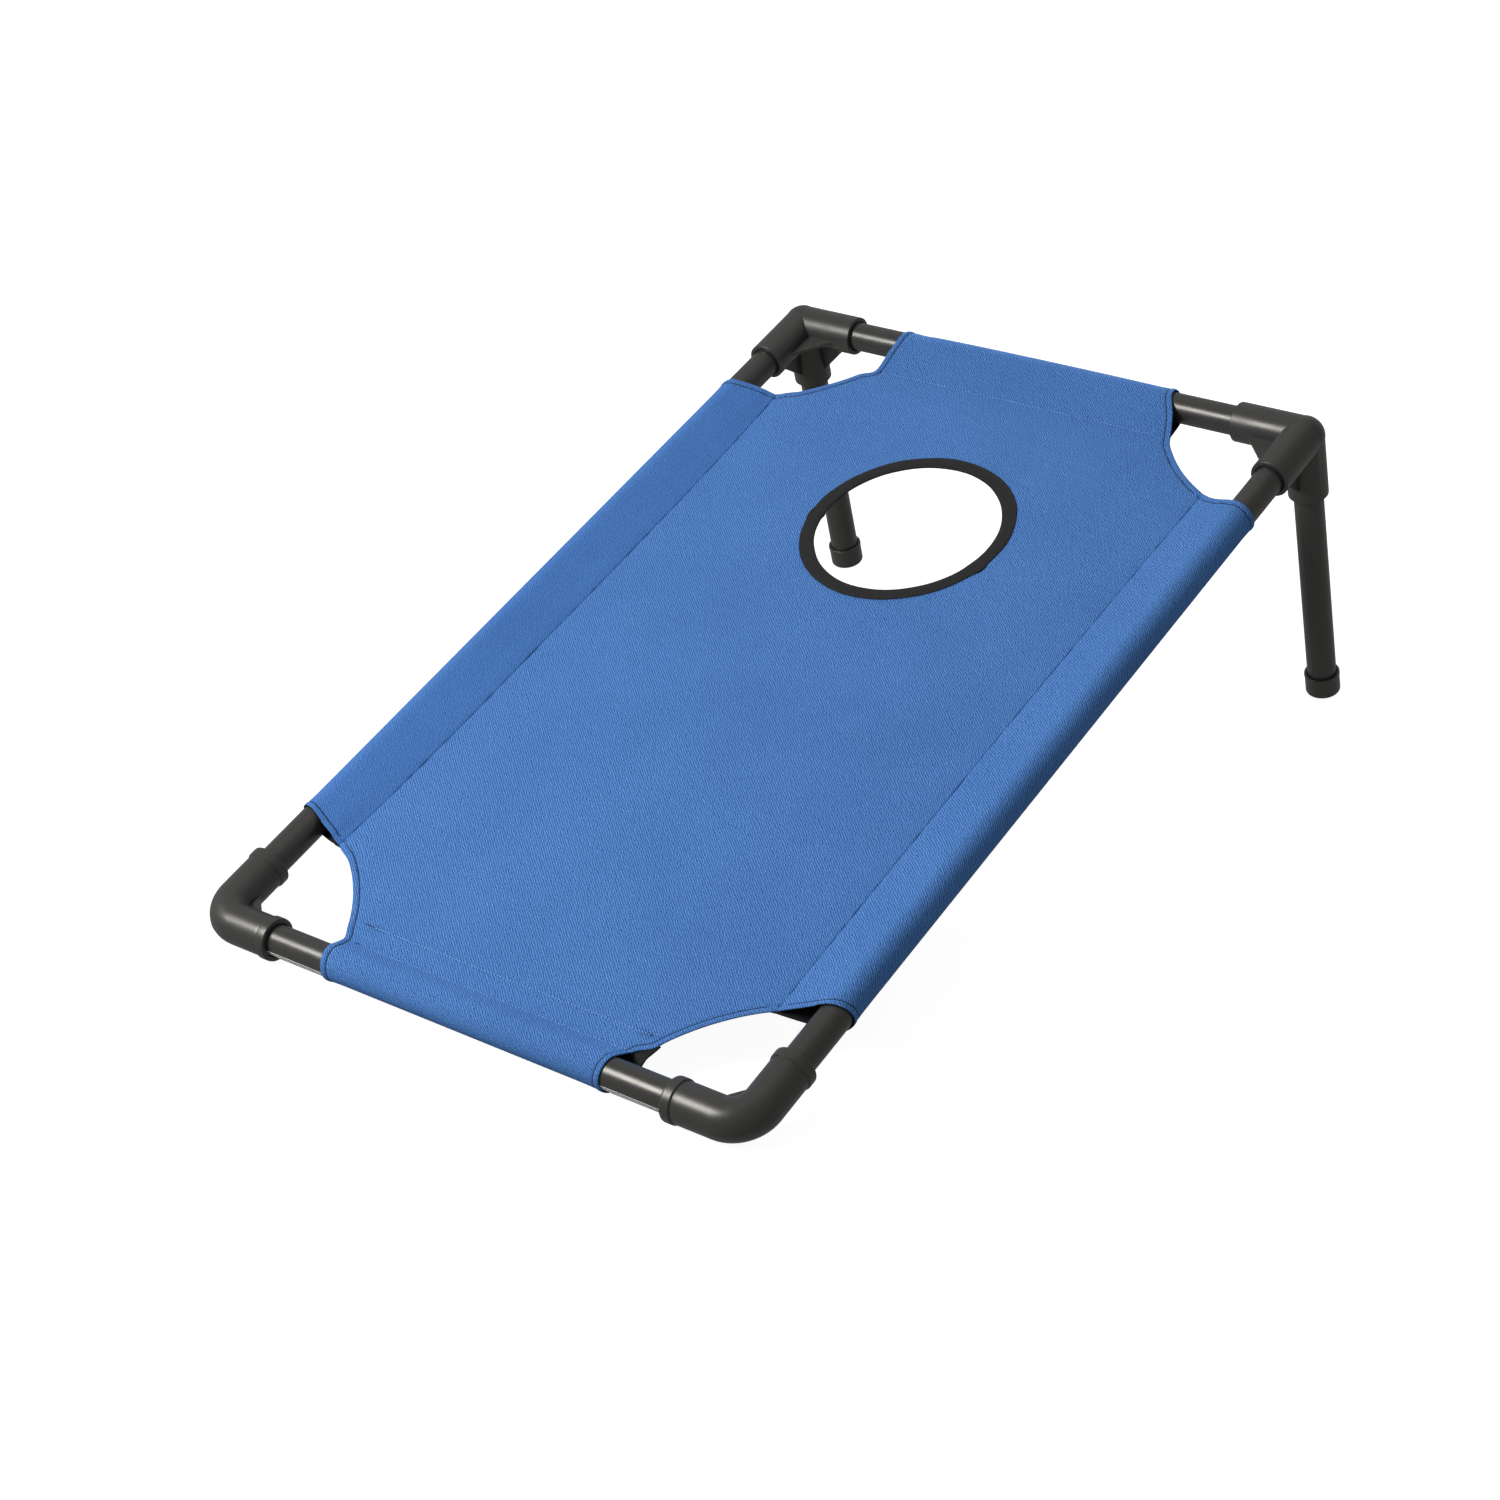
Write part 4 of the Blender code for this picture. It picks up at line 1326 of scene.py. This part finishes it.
def target_cloth(materials):
    cut = target_cut()
    place = placer(target_wrap(), 1)

    def lift(points):
        hem = cut.to_hem(points)
        relief = hem_lift(hem) + mouth_lift(hem, np.abs(points[:, 1]) - (HALF_LENGTH - 0.03))
        relief += line_lift(points) + loose_back(points)
        return relief + seam_lift(cut.to_seam(points), points[:, 1])

    def under(points):
        reach = np.where(points[:, 1] < 0, CREST[-1], CREST[1]) + LOWER_FROM
        return np.abs(points[:, 1]) > reach

    low, high = cut.outline[:, 1].min(), cut.outline[:, 1].max()
    round_front = (low, -HALF_LENGTH + 0.030)
    round_back = (HALF_LENGTH - 0.025, high)
    rows = rows_between(low, high, TARGET_ROW, (round_front, round_back))
    lines = []
    for along_board, left, right in STITCH_LINES.values():
        row = np.arange(left + LINE_INSET, right - LINE_INSET, LINE_STEP)
        for shift in LINE_ROWS:
            lines.append(np.stack([row, np.full(len(row), along_board + shift)], 1))
    obj = cloth_piece("target_cloth", cut, place, lift, under, rows, TARGET_GRID, lines, materials)
    dress(obj, "frame", None, "blue_cloth", "target_panel")
    return obj, cut, place, lift


def side_cut(x_sign):
    """Strip round a side rail. Across is measured so that it grows with X on the upper layer."""
    crest = crest_to_close(SIDE_CLOSE)
    front, back = CORNERS[x_sign, -1], CORNERS[x_sign, 1]
    ends = []
    for corner, y_sign in ((front, -1), (back, 1)):
        edge = [(crest, corner.seam_end())] + corner.side
        ends.append([(x_sign * (crest - path), y_sign * (HALF_LENGTH - inward))
                     for path, inward in edge])
    front_edge, back_edge = ends
    runs = [
        ("hem", front_edge),
        ("hem", [front_edge[-1], back_edge[-1]]),
        ("hem", back_edge[::-1]),
        ("seam", [back_edge[0], front_edge[0]]),
    ]
    if x_sign < 0:
        runs = [(kind, points[::-1]) for kind, points in runs[:1] + runs[:0:-1]]
    return Cut(runs)


def side_wrap(x_sign):
    section = sleeve_section(SIDE_CLOSE, SIDE_TAIL)
    if x_sign > 0:
        points = [(HALF_WIDTH - d, z) for d, z in section[::-1]]
        return Wrap(points, (HALF_WIDTH - SIDE_CLOSE, 0))
    points = [(d - HALF_WIDTH, z) for d, z in section]
    return Wrap(points, (SIDE_CLOSE - HALF_WIDTH, 0))


def side_cloth(side, x_sign, materials):
    cut = side_cut(x_sign)
    place = placer(side_wrap(x_sign), 0)

    def lift(points):
        hem = cut.to_hem(points)
        relief = hem_lift(hem) + mouth_lift(hem, np.abs(points[:, 0]) - 0.025)
        return relief + seam_lift(cut.to_seam(points), points[:, 1])

    def under(points):
        return x_sign * points[:, 0] > LOWER_FROM

    rows = rows_between(cut.outline[:, 1].min(), cut.outline[:, 1].max(), SIDE_ROW)
    name = f"{side}_sleeve"
    obj = cloth_piece(name + "_cloth", cut, place, lift, under, rows, SIDE_GRID, [], materials)
    dress(obj, "frame", None, "blue_cloth", name)
    return obj, cut, place, lift


# ---------------------------------------------------------------- stitches and binding

# One stitch: share of its length, share of its radius, and height in radii.
STITCH_RINGS = (
    (0.0, 0.15, -0.9),
    (0.15, 0.75, 0.0),
    (0.5, 1.0, 0.45),
    (0.85, 0.75, 0.0),
    (1.0, 0.15, -0.9),
)
STITCH_SIDES = 6


def stitch_shape(start, end, up, radius):
    """Vertices of one stitch, a short thread between two needle holes."""
    axis = end - start
    side = axis.cross(up).normalized()
    vertices = []
    for share, width, height in STITCH_RINGS:
        centre = start + axis * share + up * (radius * height)
        for step in range(STITCH_SIDES):
            angle = 2 * math.pi * step / STITCH_SIDES
            spoke = side * math.cos(angle) + up * math.sin(angle)
            vertices.append(centre + spoke * (radius * width))
    return vertices


def stitches(name, lines, place, lift, material, slot, radius):
    """Rows of stitches along flat lines, lying in the cloth's furrows."""
    stitch_faces = capped_faces(len(STITCH_RINGS), STITCH_SIDES)
    vertices, faces = [], []
    for line in lines:
        starts = np.arange(STITCH_PITCH / 2, run_of(line)[-1] - STITCH_PITCH, STITCH_PITCH)
        flat = points_at(np.concatenate([starts, starts + STITCH]), line)
        height = lift(flat)
        low, high = place(flat, height), place(flat, height + 0.001)
        count = len(starts)
        for index in range(count):
            start, end = Vector(low[index]), Vector(low[count + index])
            up = (Vector(high[index]) - start).normalized()
            base = len(vertices)
            vertices += stitch_shape(start, end, up, radius)
            faces += [tuple(base + i for i in face) for face in stitch_faces]
    obj = piece(name, vertices, faces, BOARD)
    obj.data.shade_smooth()
    dress(obj, "frame", material, slot)
    return obj


def hem_lines(cut):
    """The hem's stitch line, split where a corner or a seam interrupts it."""
    moved, keep = cut.inner_line(HEM)
    keep &= cut.hem & (cut.to_seam(moved) > SEAM_CLEAR)
    ends = np.flatnonzero(np.diff(keep)) + 1
    runs = zip(np.split(moved, ends), np.split(keep, ends))
    return [run for run, kept in runs if kept[0] and len(run) > 3]


def round_noise(angle, layer):
    """Noise that closes on itself round the hole."""
    return noise.noise((math.cos(angle) * 4, math.sin(angle) * 4, layer))


def tape_section(angle):
    """Section of the binding at an angle round the hole, as (distance from its centre, height)."""
    waver = 0.0007 * round_noise(angle, 2.2)
    lap = 0
    pinch = 0
    for centre, spread_out, taken_in in TAPE_BUMPS:
        turn = (angle - centre + math.pi) % (2 * math.pi) - math.pi
        near = math.exp(-(turn / 0.07) ** 4)
        waver += spread_out * near
        pinch += taken_in * math.exp(-(turn / 0.035) ** 2)
        lap += 0.0005 * near
    inner = HOLE_RADIUS - pinch + 0.0004 * round_noise(angle, 7.7)
    outer = HOLE_RADIUS + TAPE_WIDTH + waver
    middle_line = (inner + outer) / 2
    top = 0.0001 + TAPE_THICKNESS + lap
    under = -CLOTH - 0.0001 - TAPE_THICKNESS
    return [
        (outer, 0.0001),
        (outer + 0.0001, top * 0.6),
        (outer - 0.0003, top),
        (outer - 0.0022, top - 0.00012),
        (outer - 0.0036, top + 0.00005),
        (middle_line, top + 0.0001),
        (inner + 0.0016, top + 0.0001),
        (inner + 0.0005, top * 0.55),
        (inner, -CLOTH / 2),
        (inner + 0.0005, under * 0.7),
        (inner + 0.0016, under - 0.0001),
        (middle_line, under - 0.0001),
        (outer - 0.0003, under),
        (outer + 0.0001, under * 0.8),
        (outer, -CLOTH - 0.0001),
        (inner + 0.0020, -CLOTH - 0.00008),
        (inner + 0.0014, -CLOTH / 2),
        (inner + 0.0020, 0.00008),
    ]


def hole_tape(material, place):
    """Binding folded over the hole's edge, its outer edge wavering, its end lapped over its start."""
    rows = []
    flats = []
    for step in range(TAPE_STEPS):
        angle = 2 * math.pi * step / TAPE_STEPS
        section = tape_section(angle)
        radius, height = np.array(section).T
        rows.append(place(circle(HOLE_CENTRE, radius, angle), height))
        flats += [(from_centre, angle * HOLE_RADIUS) for from_centre in radius]
    faces = ring_faces(TAPE_STEPS, len(section), True)
    obj = cloth_mesh("hole_tape", np.concatenate(rows), faces, flats)
    turn_out(obj.data)
    dress(obj, "frame", material, "black_tape", "hole_binding")
    return obj


def tape_line():
    radius = HOLE_RADIUS + TAPE_WIDTH - TAPE_SEAM
    return circle(HOLE_CENTRE, radius, np.linspace(0, 2 * math.pi, 200))


# ---------------------------------------------------------------- assembly

def flat_area(outline):
    x, y = outline[:, 0], outline[:, 1]
    return abs(np.dot(x, np.roll(y, -1)) - np.dot(y, np.roll(x, -1))) / 2


def flat_size(outline):
    return tuple(float(v) for v in outline.max(0) - outline.min(0))


def build():
    pipe_plastic = plastic("black_pipe", 0.30, True)
    fitting_plastic = plastic("black_fitting", 0.34, False)
    # The front rail's fine ridges get a near-white painted reflection.
    rails(pipe_plastic, thread("painted_floor_reflection", PAINTED_FLOOR_REFLECTION))
    legs(pipe_plastic, fitting_plastic)
    for side, sign in SIGNS.items():
        front_elbow(side, sign, fitting_plastic)
    rear_corners(fitting_plastic)

    backing = cloth_backing()
    blue = cloth_face("blue_twill", *BLUE, 0)
    # Left sleeve's copy of the twill: evened-out ribs, and a slightly darker blue as painted shade.
    painted_shade_copy = cloth_face("blue_twill_painted_shade_copy", *PAINTED_SHADE_COPY_BLUE, 0.45)
    blue_thread = thread("blue_thread", BLUE_THREAD)
    # Near-black thread for hems and back-tacks: painted shade of their grooves.
    dark_thread_painted_shade = thread("dark_thread_painted_shade", THREAD_PAINTED_SHADE)
    black_thread = thread("black_thread", BLACK_THREAD)

    target, cut, place, lift = target_cloth((blue, backing))
    lines = [np.array([(left, y), (right, y)]) for y, left, right in STITCH_LINES.values()]
    sewn = stitches("target_stitches", lines, place, lift, blue_thread, "blue_cloth", LINE_THREAD)
    lines = hem_lines(cut) + [np.array(tack) for tack in TACKS]
    dark = stitches("target_hem_stitches", lines, place, lift, dark_thread_painted_shade, "blue_cloth",
                    HEM_THREAD)
    hole_area = math.pi * HOLE_CUT ** 2
    flat_size(cut.outline)
    flat_area(cut.outline) - hole_area

    def tape_lift(points):
        return np.full(len(points), TAPE_THICKNESS)

    tape = hole_tape(tape_material(), place)
    tape_thread = stitches("tape_stitches", [tape_line()], place, tape_lift, black_thread,
                           "black_tape", TAPE_THREAD)

    for side, face in (("left", painted_shade_copy), ("right", blue)):
        sleeve, cut, place, lift = side_cloth(side, SIGNS[side], (face, backing))
        sewn = stitches(f"{side}_sleeve_stitches", hem_lines(cut), place, lift, dark_thread_painted_shade,
                        "blue_cloth", HEM_THREAD)
        flat_size(cut.outline)
        flat_area(cut.outline)


add_camera()
studio()
build()
